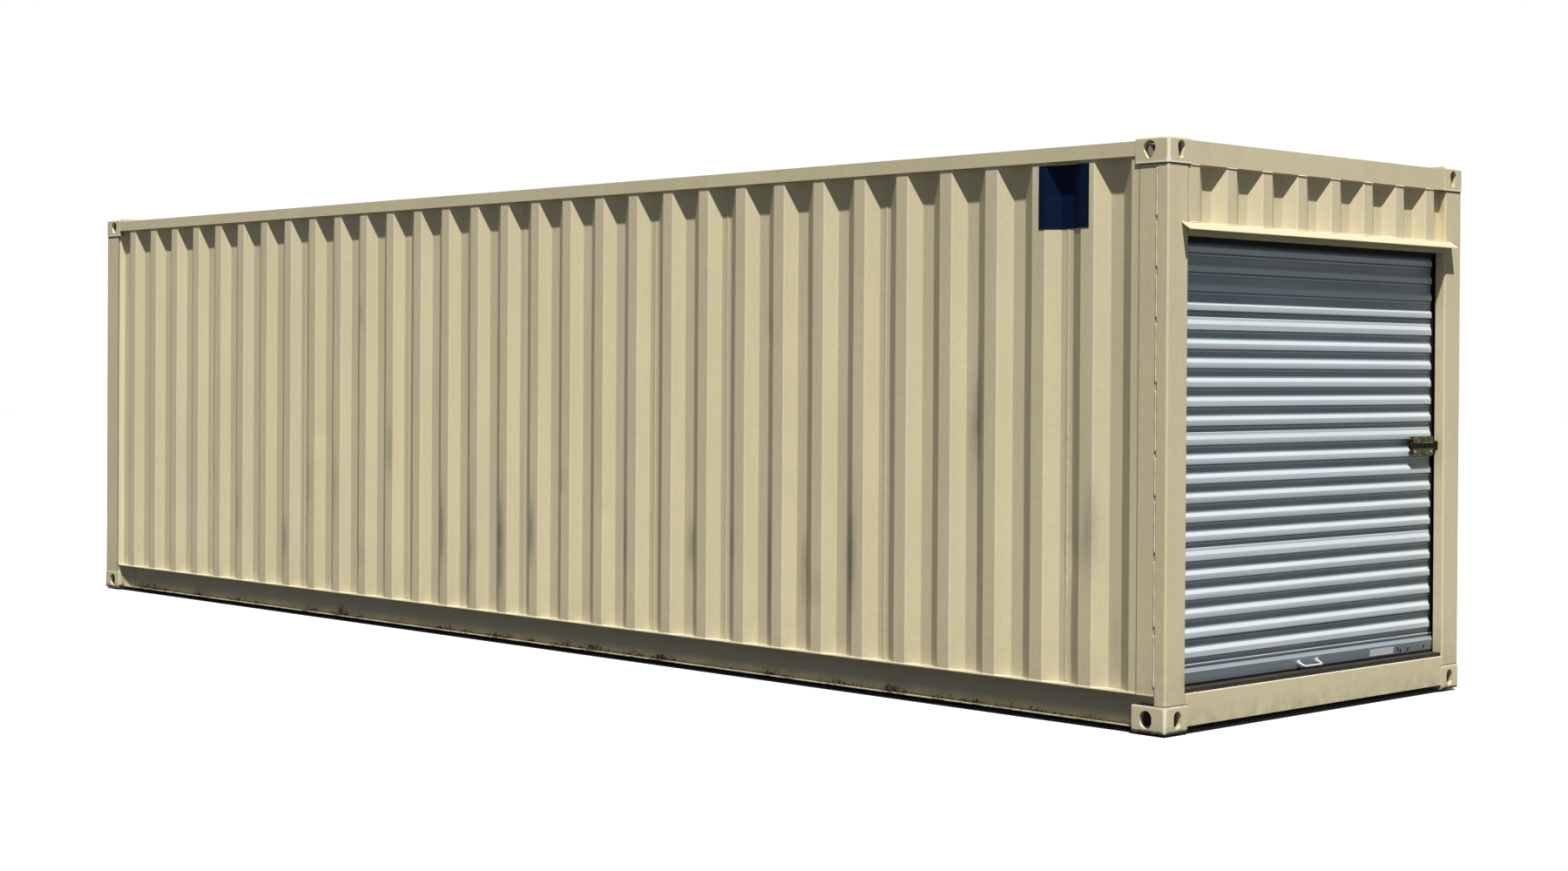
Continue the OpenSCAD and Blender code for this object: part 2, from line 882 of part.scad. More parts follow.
// Rubber between the bottom bar and the threshold
module shutter_foot_seal() {
    front = curtain_back + curtain_sheet - bar_depth + bar_lean;
    color(rubber)
        across_end(door)
            carry_y(-half_width + door_post_width, half_width - door_post_width)
                translate([front, curtain_foot - foot_seal])
                    square([bar_depth - bar_lean, foot_seal]);
}

// Channel behind the reveal that the curtain's edge runs in
module shutter_guide(side) {
    web = door_post_rear_width;
    color(zinc)
        corner(door, side)
            translate([0, 0, floor_level])
                linear_extrude(head_level + curtain_above_head - floor_level)
                    difference() {
                        translate([guide_front, web])
                            square([guide_depth, door_post_width - web]);
                        translate([guide_front + guide_sheet, web + guide_sheet])
                            square([guide_depth - 2 * guide_sheet, door_post_width - web]);
                    }
}

// Folded channel on two ribs of the curtain, with lips that hold the bolt and feet at top and bottom
module latch_body() {
    gap = bolt_clearance;
    front = bolt_from_end - gap - latch_sheet;
    back = bolt_back + gap + latch_sheet;
    color(bronze)
        corner(door, right)
            translate([0, 0, latch_level])
                carry_y(latch_right, latch_left) {
                    difference() {
                        translate([front, -latch_height / 2])
                            square([back - front, latch_height]);
                        translate([front + latch_sheet, latch_sheet - latch_height / 2])
                            square([back - front - 2 * latch_sheet, latch_height - 2 * latch_sheet]);
                        translate([front - eps, -latch_slot / 2])
                            square([latch_sheet + 2 * eps, latch_slot]);
                    }
                    for (z = [-latch_height / 2, latch_height / 2 - latch_foot])
                        translate([back, z])
                            square([curtain_from_end - back, latch_foot]);
                }
}

// Flat bolt with a wide slider inside the latch, a round tail and a knob; it slides out of the door post
module latch_bolt() {
    slider = latch_height / 2 - latch_sheet - bolt_clearance;
    slider_right = latch_right + latch_sheet;
    slider_left = latch_left - bolt_travel - latch_sheet;
    tail = latch_left + bolt_tail - bolt_height / 2;
    color(bronze)
        corner(door, right)
            translate([bolt_from_end, 0, latch_level]) {
                translate([0, bolt_tip, -bolt_height / 2])
                    cube([bolt_thick, tail - bolt_tip, bolt_height]);
                translate([0, tail, 0])
                    rotate([0, 90, 0])
                        cylinder(h = bolt_thick, d = bolt_height);
                translate([0, slider_right, -slider])
                    cube([bolt_thick, slider_left - slider_right, 2 * slider]);
                translate([-knob_reach, (slider_left + slider_right) / 2, 0])
                    rotate([0, 90, 0])
                        cylinder(h = knob_reach, d = knob_size);
            }
}

// Bent bar handle that hangs a little from two foot plates on the bottom bar
module lift_handle() {
    bar_face = bar_height - bar_slope;
    front = curtain_back + curtain_sheet - bar_depth + bar_lean * (1 - handle_rise / bar_face);
    level = curtain_foot + handle_rise;
    leg = handle_reach - handle_bend;
    color("#d8dcdf")
        across_end(door)
            translate([front, handle_offset, level])
                rotate([0, -atan(bar_lean / bar_face), 0]) {
                    for (s = [-1, 1])
                        translate([-handle_foot_sheet, s * handle_length / 2, 0])
                            rotate([0, 90, 0])
                                cylinder(h = handle_foot_sheet, d = handle_foot);
                    translate([-handle_foot_sheet / 2, 0, 0])
                        rotate([0, -handle_droop, 0]) {
                            for (s = [-1, 1])
                                mirror([0, s < 0 ? 1 : 0, 0])
                                    handle_leg(leg);
                            translate([-handle_reach, handle_bend - handle_length / 2, 0])
                                rotate([-90, 0, 0])
                                    cylinder(h = handle_length - 2 * handle_bend, d = handle_bar);
                        }
                }
}

// One leg of the handle with the bend into its bar
module handle_leg(leg) {
    translate([-leg, handle_length / 2, 0])
        rotate([0, 90, 0])
            cylinder(h = leg, d = handle_bar);
    translate([-leg, handle_length / 2 - handle_bend, 0])
        rotate([0, 0, 90])
            rotate_extrude(angle = 90)
                translate([handle_bend, 0])
                    circle(d = handle_bar);
}

fitting_bottom(door, left);  // fitting_bottom_door_left
fitting_bottom(door, right);  // fitting_bottom_door_right
fitting_bottom(far, left);  // fitting_bottom_far_left
fitting_bottom(far, right);  // fitting_bottom_far_right
fitting_top(door, left);  // fitting_top_door_left
fitting_top(door, right);  // fitting_top_door_right
fitting_top(far, left);  // fitting_top_far_left
fitting_top(far, right);  // fitting_top_far_right
door_post(left, false);  // post_door_left
door_post(right, true);  // post_door_right
far_post(left);  // post_far_left
far_post(right);  // post_far_right
top_side_rail(left);  // top_side_rail_left
top_side_rail(right);  // top_side_rail_right
bottom_side_rail(left);  // bottom_side_rail_left
bottom_side_rail(right);  // bottom_side_rail_right
rail_closer(left);  // rail_closer_left
rail_closer(right);  // rail_closer_right
top_end_rail(door);  // top_end_rail_door
top_end_rail(far);  // top_end_rail_far
bottom_end_rail(door, door_post_width);  // door_sill
bottom_end_rail(far, far_post_width);  // far_sill
side_wall(left);  // side_wall_left
side_wall(right);  // side_wall_right
far_wall();
roof();
floor_boards();
cross_members();
header_panel();
lintel();
head_seal();
drip_cap();
threshold();
shutter_curtain();
shutter_bottom_bar();
shutter_foot_seal();
shutter_guide(left);  // shutter_guide_left
shutter_guide(right);  // shutter_guide_right
latch_body();
latch_bolt();
lift_handle();
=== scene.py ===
"""Looks of a thirty-foot steel storage box with a roll-up shutter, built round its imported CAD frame.

Metres, +Z up, the ground at z = 0, the shutter's end at +X and the side that the photo shows at -Y.
"""

import math

import bmesh
import bpy
import numpy as np
from mathutils import Matrix, Vector


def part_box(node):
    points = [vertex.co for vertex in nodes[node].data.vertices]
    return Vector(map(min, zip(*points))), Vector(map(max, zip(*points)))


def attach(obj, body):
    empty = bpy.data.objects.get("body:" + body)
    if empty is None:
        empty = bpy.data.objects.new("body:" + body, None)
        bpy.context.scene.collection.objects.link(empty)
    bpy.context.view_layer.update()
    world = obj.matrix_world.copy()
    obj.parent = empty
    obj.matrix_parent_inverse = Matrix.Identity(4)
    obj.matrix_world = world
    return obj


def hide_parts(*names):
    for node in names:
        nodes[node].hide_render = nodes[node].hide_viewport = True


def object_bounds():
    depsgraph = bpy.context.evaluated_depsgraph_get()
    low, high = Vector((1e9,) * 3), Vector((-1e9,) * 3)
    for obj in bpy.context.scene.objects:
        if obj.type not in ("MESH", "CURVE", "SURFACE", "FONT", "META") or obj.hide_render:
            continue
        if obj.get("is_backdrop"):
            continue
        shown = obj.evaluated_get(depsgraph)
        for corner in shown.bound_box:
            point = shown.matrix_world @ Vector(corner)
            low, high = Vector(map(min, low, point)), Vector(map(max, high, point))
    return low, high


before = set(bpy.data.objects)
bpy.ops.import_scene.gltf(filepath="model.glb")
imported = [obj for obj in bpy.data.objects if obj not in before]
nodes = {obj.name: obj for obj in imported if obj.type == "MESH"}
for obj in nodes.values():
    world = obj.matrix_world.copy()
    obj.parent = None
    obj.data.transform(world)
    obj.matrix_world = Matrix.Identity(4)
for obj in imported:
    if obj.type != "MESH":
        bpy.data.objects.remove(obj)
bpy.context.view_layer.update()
scene = bpy.context.scene


# Corner fittings: eight hollow steel castings, welded to posts and rails and sprayed with the rest.
# The tan coat is dusty and slightly uneven, with a painted highlight of pale chalk on their rims; their insides are
# darkened as painted shade.
# The bottom castings stand in the wet and rust at their feet.
BOX_END, BOX_SIDE, BOX_TOP = 4.5625, 1.219, 2.591
CASTING_HEIGHT = 0.118
# The pale chalk colour is a painted highlight, laid on edges, rims, bends and the sill's front edge.
TAN, PAINTED_HIGHLIGHT = (0.715, 0.615, 0.383, 1), (0.98, 0.91, 0.70, 1)
DUST, DIRT_AND_SHADE, RUST = (0.35, 0.31, 0.225, 1), (0.15, 0.13, 0.1, 1), (0.085, 0.045, 0.025, 1)


def feed(tree, socket, value):
    """Links an output to a socket, or sets the socket to a number or colour."""
    if isinstance(value, bpy.types.NodeSocket):
        tree.links.new(value, socket)
    else:
        socket.default_value = value


def wire(tree, node, **inputs):
    """Feeds a node's inputs by their names, with underscores for spaces."""
    for name, value in inputs.items():
        feed(tree, node.inputs[name.replace("_", " ")], value)


def put(tree, kind, settings=None, **inputs):
    """Adds a shader node with settings, and feeds its inputs."""
    node = tree.nodes.new(kind)
    for name, value in (settings or {}).items():
        setattr(node, name, value)
    wire(tree, node, **inputs)
    return node


def calc(tree, operation, first, *others, clamp=False):
    """A math operation on one number, or on several from left to right."""
    for other in others or (0.0,):
        node = put(tree, "ShaderNodeMath", {"operation": operation, "use_clamp": clamp})
        feed(tree, node.inputs[0], first)
        feed(tree, node.inputs[1], other)
        first = node.outputs[0]
    return first


def tint(tree, share, a, b, way="MIX"):
    """Colour a turned towards colour b by a share."""
    node = put(tree, "ShaderNodeMix", {"data_type": "RGBA", "blend_type": way})
    feed(tree, node.inputs[0], share)
    feed(tree, node.inputs[6], a)
    feed(tree, node.inputs[7], b)
    return node.outputs[2]


def span(tree, value, low, high, to_low=0.0, to_high=1.0):
    """A number carried from one range to another, and held inside it."""
    ranges = {"From_Min": low, "From_Max": high, "To_Min": to_low, "To_Max": to_high}
    return put(tree, "ShaderNodeMapRange", None, Value=value, **ranges).outputs[0]


def place_in(tree):
    """The place on the piece, in the box's own metres."""
    return put(tree, "ShaderNodeTexCoord").outputs["Object"]


def split(tree, vector):
    """The X, Y and Z of a place or a direction."""
    return put(tree, "ShaderNodeSeparateXYZ", None, Vector=vector).outputs


def facing_up(tree):
    """How far the surface faces up: 1 on top, 0 on walls, -1 underneath."""
    return split(tree, put(tree, "ShaderNodeNewGeometry").outputs["Normal"])["Z"]


def stretched(tree, place, x, y, z):
    """A place with its three directions stretched or squeezed."""
    return put(tree, "ShaderNodeMapping", None, Vector=place, Scale=(x, y, z)).outputs[0]


def noise(tree, place, scale, detail=4.0, rough=0.55):
    """Cloudy noise of a number of blotches per metre."""
    node = put(tree, "ShaderNodeTexNoise", None, Vector=place, Scale=scale, Detail=detail, Roughness=rough)
    return node.outputs["Fac"]


def away(tree, value, middle):
    """The distance of a number from a middle."""
    return calc(tree, "ABSOLUTE", calc(tree, "SUBTRACT", value, middle))


def behind(tree, face, distance):
    """How deep a place lies behind the nearer of two opposite faces, from its distance to their middle."""
    return calc(tree, "SUBTRACT", face, calc(tree, "ABSOLUTE", distance))


def depths(tree, spot):
    """How deep a place lies behind the box's ends, behind its sides, and from its top or bottom."""
    to_level = calc(tree, "MINIMUM", spot["Z"], calc(tree, "SUBTRACT", BOX_TOP, spot["Z"]))
    return behind(tree, BOX_END, spot["X"]), behind(tree, BOX_SIDE, spot["Y"]), to_level


def near_ground(tree, place, reach):
    """1 at the ground, falling to 0 at a height."""
    return calc(tree, "SUBTRACT", 1.0, calc(tree, "DIVIDE", split(tree, place)["Z"], reach), clamp=True)


def new_group(name, inputs, *outputs):
    """An empty shader group; returns its tree, what it is given and what it results in.

    The inputs come with their first values. A socket named Colour holds a colour, and any other a number.
    """
    tree = bpy.data.node_groups.new(name, "ShaderNodeTree")
    kinds = {True: "NodeSocketColor", False: "NodeSocketFloat"}
    for label, value in inputs.items():
        socket = tree.interface.new_socket(label, in_out="INPUT", socket_type=kinds[label == "Colour"])
        socket.default_value = value
    for label in outputs:
        tree.interface.new_socket(label, in_out="OUTPUT", socket_type=kinds[label == "Colour"])
    return tree, tree.nodes.new("NodeGroupInput").outputs, tree.nodes.new("NodeGroupOutput").inputs


# Sprayed coat: broad cloudy tone, faint runs down the sheet, fine mottling and an orange-peel grain.
# Dust settles on what faces up.
coat, given, result = new_group("sprayed_coat", {"Colour": TAN}, "Colour", "Roughness", "Height")
place = place_in(coat)
cloud = noise(coat, place, 1.3, 6.0)
runs = noise(coat, stretched(coat, place, 9.0, 9.0, 0.5), 1.0, 3.0)
mottle = noise(coat, place, 55.0, 4.0, 0.6)
grain = noise(coat, place, 260.0, 2.0)
unevenness = ((cloud, 0.156), (runs, 0.12), (mottle, 0.204), (grain, 0.12))
tones = [calc(coat, "MULTIPLY", calc(coat, "SUBTRACT", part, 0.5), share) for part, share in unevenness]
clean = tint(coat, 1.0, given["Colour"], calc(coat, "ADD", 1.0, *tones), "MULTIPLY")
settled = calc(coat, "MULTIPLY", span(coat, facing_up(coat), 0.5, 0.95), span(coat, cloud, 0.2, 0.8, 0.6, 0.85))
feed(coat, result["Colour"], tint(coat, settled, clean, DUST))
feed(coat, result["Roughness"], span(coat, cloud, 0.3, 0.7, 0.42, 0.6))
feed(coat, result["Height"], calc(coat, "ADD", grain, calc(coat, "MULTIPLY", mottle, 1.5)))

# Low grime: dirt splashed up from the ground by rain and wheels.
# It lies in blotches and thins out with height.
grime, given, result = new_group("low_grime", {"Reach": 0.3, "Amount": 0.5}, "Mask")
place = place_in(grime)
splash = span(grime, noise(grime, place, 14.0, 6.0, 0.65), 0.35, 0.7)
feed(grime, result["Mask"], calc(grime, "MULTIPLY", near_ground(grime, place, given["Reach"]), splash, given["Amount"]))

# Bright edges: a painted highlight of pale chalk where two of the box's outer faces meet, and on the level rims of
# castings.
# Level rims flare towards the box's corners; where there are none (Ledges 0), a metre puts them out of reach.
RIM_STEEPNESS, RIM_FLARE = 1.2, 0.045
edges, given, result = new_group("painted_edge_highlights", {"Width": 0.012, "Ledges": 0.0}, "Mask")
place = place_in(edges)
to_end, to_side, to_level = depths(edges, split(edges, place))
to_rim = calc(edges, "MINIMUM", to_level, away(edges, to_level, CASTING_HEIGHT))
no_rims = calc(edges, "SUBTRACT", 1.0, given["Ledges"])
flared = put(edges, "ShaderNodeMath", {"operation": "SMOOTH_MIN"})
feed(edges, flared.inputs[0], calc(edges, "MAXIMUM", to_end, to_side))
feed(edges, flared.inputs[1], calc(edges, "ADD", calc(edges, "MULTIPLY", to_rim, RIM_STEEPNESS), no_rims))
feed(edges, flared.inputs[2], RIM_FLARE)
to_edge = calc(edges, "MAXIMUM", calc(edges, "MINIMUM", to_end, to_side), flared.outputs[0])
edge_highlight = span(edges, calc(edges, "DIVIDE", to_edge, given["Width"]), 0.8, 1.1, 1.0, 0.0)
# Noise breaks the painted highlight on edges and rims into patches.
highlight_breakup = span(edges, noise(edges, place, 30.0, 4.0), 0.3, 0.6, 0.6, 1.0)
feed(edges, result["Mask"], calc(edges, "MULTIPLY", edge_highlight, highlight_breakup))

# Seams: dark lines of dirt where a post meets the wall sheet, and down the groove in the door posts' sides.
# A level one runs round each post where it meets a casting: partly dirt in that joint, partly painted shadow under the
# casting's lip.
POST_EDGE, POST_GROOVE, POST_HALF = 4.4025, 4.5005, BOX_TOP / 2 - CASTING_HEIGHT
POST_FROM_X, POST_FROM_Y = 4.4, 1.05
seams, _, result = new_group("dark_seams_and_painted_shade", {}, "Mask")
spot = split(seams, place_in(seams))
from_middle = calc(seams, "ABSOLUTE", spot["X"])
from_axis = calc(seams, "ABSOLUTE", spot["Y"])
to_seam = calc(seams, "MINIMUM", away(seams, from_middle, POST_EDGE), away(seams, spot["X"], POST_GROOVE))
from_half = away(seams, spot["Z"], BOX_TOP / 2)
upright = calc(
    seams, "MULTIPLY", span(seams, to_seam, 0.0015, 0.0035, 1.0, 0.0),
    calc(seams, "GREATER_THAN", from_axis, BOX_SIDE - 0.024), calc(seams, "LESS_THAN", from_half, POST_HALF - 0.0005),
)
# Partly dirt in the joint, partly painted shadow under the casting's lip.
shade_at_casting = calc(
    seams, "MULTIPLY", calc(seams, "LESS_THAN", away(seams, from_half, POST_HALF - 0.004), 0.0035),
    calc(seams, "GREATER_THAN", from_middle, POST_FROM_X), calc(seams, "GREATER_THAN", from_axis, POST_FROM_Y),
)
feed(seams, result["Mask"], calc(seams, "MAXIMUM", upright, shade_at_casting))

# Rust pits: small bare spots with ragged edges, in loose patches.
# They are thickest near the ground and gone at a given height.
pits, given, result = new_group("rust_pits", {"Cover": 0.3, "Size": 60.0, "Below": 0.2}, "Mask")
place = place_in(pits)
patch = calc(pits, "MULTIPLY", noise(pits, place, 5.0, 3.0), 0.5)
speck = calc(pits, "MULTIPLY", noise(pits, place, given["Size"], 5.0, 0.7), 0.7)
spared = calc(pits, "SUBTRACT", 1.0, calc(pits, "MULTIPLY", near_ground(pits, place, given["Below"]), given["Cover"]))
bare = calc(pits, "SUBTRACT", calc(pits, "ADD", speck, patch), spared)
feed(pits, result["Mask"], span(pits, bare, 0.0, 0.06))


def group(tree, inner, **inputs):
    """Places a shader group in a material with its own values."""
    return put(tree, "ShaderNodeGroup", {"node_tree": inner}, **inputs).outputs


def new_material(name):
    """A material with a bare Principled shader; returns the material, its tree and the shader."""
    material = bpy.data.materials.new(name)
    material.use_nodes = True
    return material, material.node_tree, material.node_tree.nodes["Principled BSDF"]


def roughen(tree, shader, height, strength, distance):
    """Bumps the shader's normal by a height."""
    bump = put(tree, "ShaderNodeBump", None, Strength=strength, Distance=distance, Height=height)
    wire(tree, shader, Normal=bump.outputs[0])


def soil(tree, colour, reach, amount, cover, size, below, seamed=True):
    """A colour with dark seams, painted shadow under the castings, grime up to a reach and rust pits below a height;
    also returns the rust's mask.
    """
    if seamed:
        colour = tint(tree, calc(tree, "MULTIPLY", group(tree, seams)["Mask"], 0.85), colour, DIRT_AND_SHADE)
    dirty = tint(tree, group(tree, grime, Reach=reach, Amount=amount)["Mask"], colour, DIRT_AND_SHADE)
    rust = group(tree, pits, Cover=cover, Size=size, Below=below)["Mask"]
    return tint(tree, rust, dirty, RUST), rust


def tan_paint(name, reach, amount, cover, size=70.0, below=0.2, colour=TAN, highlight_width=0.007, ledges=0.0, seamed=True):
    """Tan coat with a painted highlight on its edges to a width, grime up to a reach, and rust pits below a height."""
    material, tree, shader = new_material(name)
    base = group(tree, coat, Colour=colour)
    edge_highlight = calc(tree, "MULTIPLY", group(tree, edges, Width=highlight_width, Ledges=ledges)["Mask"], 0.8)
    # Painted highlight: pale chalk on the edges.
    highlighted = tint(tree, edge_highlight, base["Colour"], PAINTED_HIGHLIGHT)
    soiled, rust = soil(tree, highlighted, reach, amount, cover, size, below, seamed)
    dull = calc(tree, "ADD", base["Roughness"], calc(tree, "MULTIPLY", rust, 0.35))
    wire(tree, shader, Base_Color=soiled, Roughness=dull)
    pitted = calc(tree, "SUBTRACT", base["Height"], calc(tree, "MULTIPLY", rust, 2.0))
    roughen(tree, shader, pitted, strength=0.25, distance=0.0006)
    return material


def overpaint(tree, share, colour):
    """Lays one more colour over what a material's shader already shows, by a share."""
    socket = tree.nodes["Principled BSDF"].inputs["Base Color"]
    feed(tree, socket, tint(tree, share, socket.links[0].from_socket, colour))


def dress(material, *names):
    """Gives CAD nodes a material."""
    for name in names:
        nodes[name].data.materials.clear()
        nodes[name].data.materials.append(material)


fitting_coat = tan_paint(
    "tan_coat_on_castings", reach=0.05, amount=0.8, cover=0.43, size=60.0, below=0.08, highlight_width=0.01, ledges=1.0,
)
tree = fitting_coat.node_tree
# Painted shade: the castings' insides, deeper than a skin, turn dark grey-brown.
to_skin = calc(tree, "MINIMUM", *depths(tree, split(tree, place_in(tree))))
overpaint(tree, span(tree, to_skin, 0.014, 0.022), (0.26, 0.24, 0.21, 1))
for level in ("bottom", "top"):
    for end in ("door", "far"):
        dress(fitting_coat, f"fitting_{level}_{end}_left", f"fitting_{level}_{end}_right")

# Corner posts: folded sheet, the door posts with a reveal beside the shutter.
# A lapped joint down each door post's side is stitch welded, and the bead shows through the paint.
post_coat = tan_paint("tan_coat_on_posts", reach=0.4, amount=0.5, cover=0.25)
dress(post_coat, "post_door_left", "post_door_right", "post_far_left", "post_far_right")


def grid_piece(name, points, material, wrap=False):
    """Quads over a stack of point grids (grids, rows, columns, 3), each joining a point to its right and upper ones.

    Its borders are sharp, so the rim of a thickened sheet stays crisp; rings that close to a point become one point.
    """
    count, rows, cols = points.shape[:3]
    index = np.arange(count * rows * cols).reshape(count, rows, cols)
    if wrap:
        index = np.concatenate([index, index[:, :, :1]], 2)
    quads = np.stack([index[:, :-1, :-1], index[:, :-1, 1:], index[:, 1:, 1:], index[:, 1:, :-1]], -1)
    mesh = bpy.data.meshes.new(name)
    mesh.from_pydata(points.reshape(-1, 3).tolist(), [], quads.reshape(-1, 4).tolist())
    mesh.polygons.foreach_set("use_smooth", np.ones(len(mesh.polygons), bool))
    pairs = np.empty(2 * len(mesh.edges), np.int32)
    mesh.edges.foreach_get("vertices", pairs)
    row, col = np.divmod(pairs.reshape(-1, 2) % (rows * cols), cols)
    border = (row == 0).all(1) | (row == rows - 1).all(1)
    if not wrap:
        border |= (col == 0).all(1) | (col == cols - 1).all(1)
    mesh.edges.foreach_set("use_edge_sharp", border)
    if wrap:
        shell = bmesh.new()
        shell.from_mesh(mesh)
        bmesh.ops.remove_doubles(shell, verts=shell.verts, dist=1e-6)
        shell.to_mesh(mesh)
        shell.free()
    mesh.materials.append(material)
    piece = bpy.data.objects.new(name, mesh)
    scene.collection.objects.link(piece)
    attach(piece, "box")
    return piece


def straight(starts, ends, stations):
    """Straight paths (paths, stations, 3) from starts to ends."""
    t = np.linspace(0, 1, stations)[None, :, None]
    return np.asarray(starts, float)[:, None] * (1 - t) + np.asarray(ends, float)[:, None] * t


def weld_beads(paths, radius, ripple, around=8, squash=(1.0, 1.0)):
    """Oval rings along paths, of a radius that ripples with the way run and closes to a point at both ends."""
    along = np.gradient(paths, axis=1)
    step = np.linalg.norm(np.diff(paths, axis=1), axis=2)
    run = np.concatenate([np.zeros((len(paths), 1)), np.cumsum(step, axis=1)], 1)
    along /= np.linalg.norm(along, axis=2, keepdims=True)
    side = np.cross(along, np.where(np.abs(along[..., 2:]) > 0.9, [1.0, 0, 0], [0, 0, 1.0]))
    side /= np.linalg.norm(side, axis=2, keepdims=True)
    up = np.cross(along, side)
    close = np.minimum(1, np.minimum(run, run[:, -1:] - run) / (1.5 * radius))
    wave = 0.16 * np.sin(2 * np.pi * run / ripple) + 0.1 * np.sin(2 * np.pi * run / (3.7 * ripple) + 1.0)
    size = radius * close * (1 + wave)
    angle = np.linspace(0, 2 * np.pi, around, endpoint=False)[None, None, :, None]
    ring = squash[0] * np.cos(angle) * side[:, :, None] + squash[1] * np.sin(angle) * up[:, :, None]
    return paths[:, :, None] + size[:, :, None, None] * ring


# The welds get a paler tan than the coat: a painted highlight on the beads.
weld_highlight_coat = tan_paint(
    "pale_tan_on_welds_painted_highlight", reach=0.3, amount=0.4, cover=0.2, colour=(0.86, 0.78, 0.55, 1), seamed=False,
)
stitch_from = (0.20, 0.46, 0.78, 1.03, 1.22, 1.52, 1.80, 2.02, 2.24)
stitch_to = (0.43, 0.75, 1.01, 1.20, 1.49, 1.78, 1.99, 2.22, 2.455)
stitch_x, stitch_y = BOX_END - 0.0655, BOX_SIDE - 0.0045
for side, sign in (("left", -1), ("right", 1)):
    stitches = straight(
        [(stitch_x, sign * stitch_y, z) for z in stitch_from], [(stitch_x, sign * stitch_y, z) for z in stitch_to], 60,
    )
    beads = weld_beads(stitches, radius=0.0032, ripple=0.11, squash=(0.7, 1.0))
    grid_piece(f"post_stitch_welds_{side}", beads, weld_highlight_coat, wrap=True)

# Rails: square tube along the top, outward channel along the bottom, and box rails across the ends.
# The bottom rails are scraped and rusty along their lower edges, with painted shade, a darker grey-green, on the upper
# web inside the channel;
# a bent plate closes each at the far end.
rail_coat = tan_paint("tan_coat_on_rails", reach=0.16, amount=0.3, cover=0.445, size=75.0)
tree = rail_coat.node_tree
spot = split(tree, place_in(tree))
# Painted shade: the web behind the flange turns darker grey-green above its lower edge.
under_flange_shade = span(tree, behind(tree, BOX_SIDE, spot["Y"]), 0.012, 0.02)
web_shade = calc(tree, "MULTIPLY", under_flange_shade, span(tree, spot["Z"], 0.035, 0.075, 0.0, 0.6))
overpaint(tree, web_shade, (0.28, 0.285, 0.24, 1))
dress(rail_coat, "bottom_side_rail_left", "bottom_side_rail_right", "rail_closer_left", "rail_closer_right", "far_sill")
dress(post_coat, "top_side_rail_left", "top_side_rail_right", "top_end_rail_door", "top_end_rail_far")

# Side walls: two-millimetre sheet pressed into trapezoid ribs, butt welded in lengths and welded to the rails.
# They are handled roughly, so flats are a little wavy, some flutes are dented, and tyres or tools leave grey scuffs.
RIB_PITCH, RIB_OUTER, RIB_SLOPE = 0.27759375, 0.072, 0.068
RIB_FRONT, RIB_BACK = 0.006, 0.042
RIB_BEND, BEND_STEPS, BEND_MARGIN = 0.004, 4, 0.0015
WALL_FROM, WALL_TO, WALL_FOOT, WALL_HEAD = 0.159, 8.965, 0.168, 2.507
WALL_RIBS, END_SLOPE = 32, 0.023
SHEET = 0.002
LEFT_SEED, RIGHT_SEED = 0.3, 1.7


def rounded_bends(corners, reach, steps, spacing, margin=0.0):
    """A folded line whose corners become curves (1-t)^2 a + 2t(1-t) corner + t^2 b, with more points along its flats.

    A margin puts one more point beside each curve, so that smooth shading keeps the flats flat.
    """
    corners = np.asarray(corners, float)
    leg = np.diff(corners, axis=0)
    unit = leg / np.linalg.norm(leg, axis=1)[:, None]
    middle = corners[1:-1]
    before, after = middle - unit[:-1] * reach, middle + unit[1:] * reach
    t = np.linspace(0, 1, steps)[None, :, None]
    bends = (1 - t) ** 2 * before[:, None] + 2 * t * (1 - t) * middle[:, None] + t ** 2 * after[:, None]
    if margin:
        ahead, past = before - unit[:-1] * margin, after + unit[1:] * margin
        bends = np.concatenate([ahead[:, None], bends, past[:, None]], 1)
    line = np.vstack([corners[:1], bends.reshape(-1, 2), corners[-1:]])
    run = np.concatenate([[0], np.cumsum(np.linalg.norm(np.diff(line, axis=0), axis=1))])
    marks = np.unique(np.concatenate([run, np.arange(0, run[-1], spacing)]).round(6))
    return np.stack([np.interp(marks, run, line[:, 0]), np.interp(marks, run, line[:, 1])], 1)


def rib_corners(at):
    """Corners (along, depth) of ribs whose outer flats start at given places: out by a slope, along, and back again."""
    along = np.stack([at - RIB_SLOPE, at, at + RIB_OUTER, at + RIB_OUTER + RIB_SLOPE], 1)
    depth = np.tile([RIB_BACK, RIB_FRONT, RIB_FRONT, RIB_BACK], (len(at), 1))
    return np.stack([along, depth], -1).reshape(-1, 2)


def bumps(x, z, spots):
    """Sum of oval bell-shaped spots: height * exp(-(dx/w)^2 - (dz/h)^2)."""
    spots = np.asarray(spots, float)
    dx = (x[..., None] - spots[:, 0]) / spots[:, 2]
    dz = (z[..., None] - spots[:, 1]) / spots[:, 3]
    return (spots[:, 4] * np.exp(-dx ** 2 - dz ** 2)).sum(-1)


def hand_waves(along, z, levels, seed):
    """Half-millimetre waves of sines over a sheet, dying out at its top and bottom edges."""
    edge = np.clip(np.minimum(z - levels[0], levels[-1] - z) / 0.15, 0, 1)
    wave = np.sin(along * 7.1 + seed) * np.sin(z * 3.3 + 2 * seed) + 0.6 * np.sin(along * 17.0 + z * 5.1 + 3 * seed)
    return edge * 0.0005 * wave


def fold_highlight_share(line):
    """The share of painted highlight along a line: 1 where it turns, less on the bends that lie deeper, and 0 along its
    flats.
    """
    leg = np.diff(line, axis=0)
    turn = np.abs(np.diff(np.unwrap(np.arctan2(leg[:, 1], leg[:, 0]))))
    shallow = (line[:, 1].max() - line[:, 1]) / np.ptp(line[:, 1])
    return np.pad((turn > 0.01).astype(float), 1) * (0.3 + 0.7 * shallow)


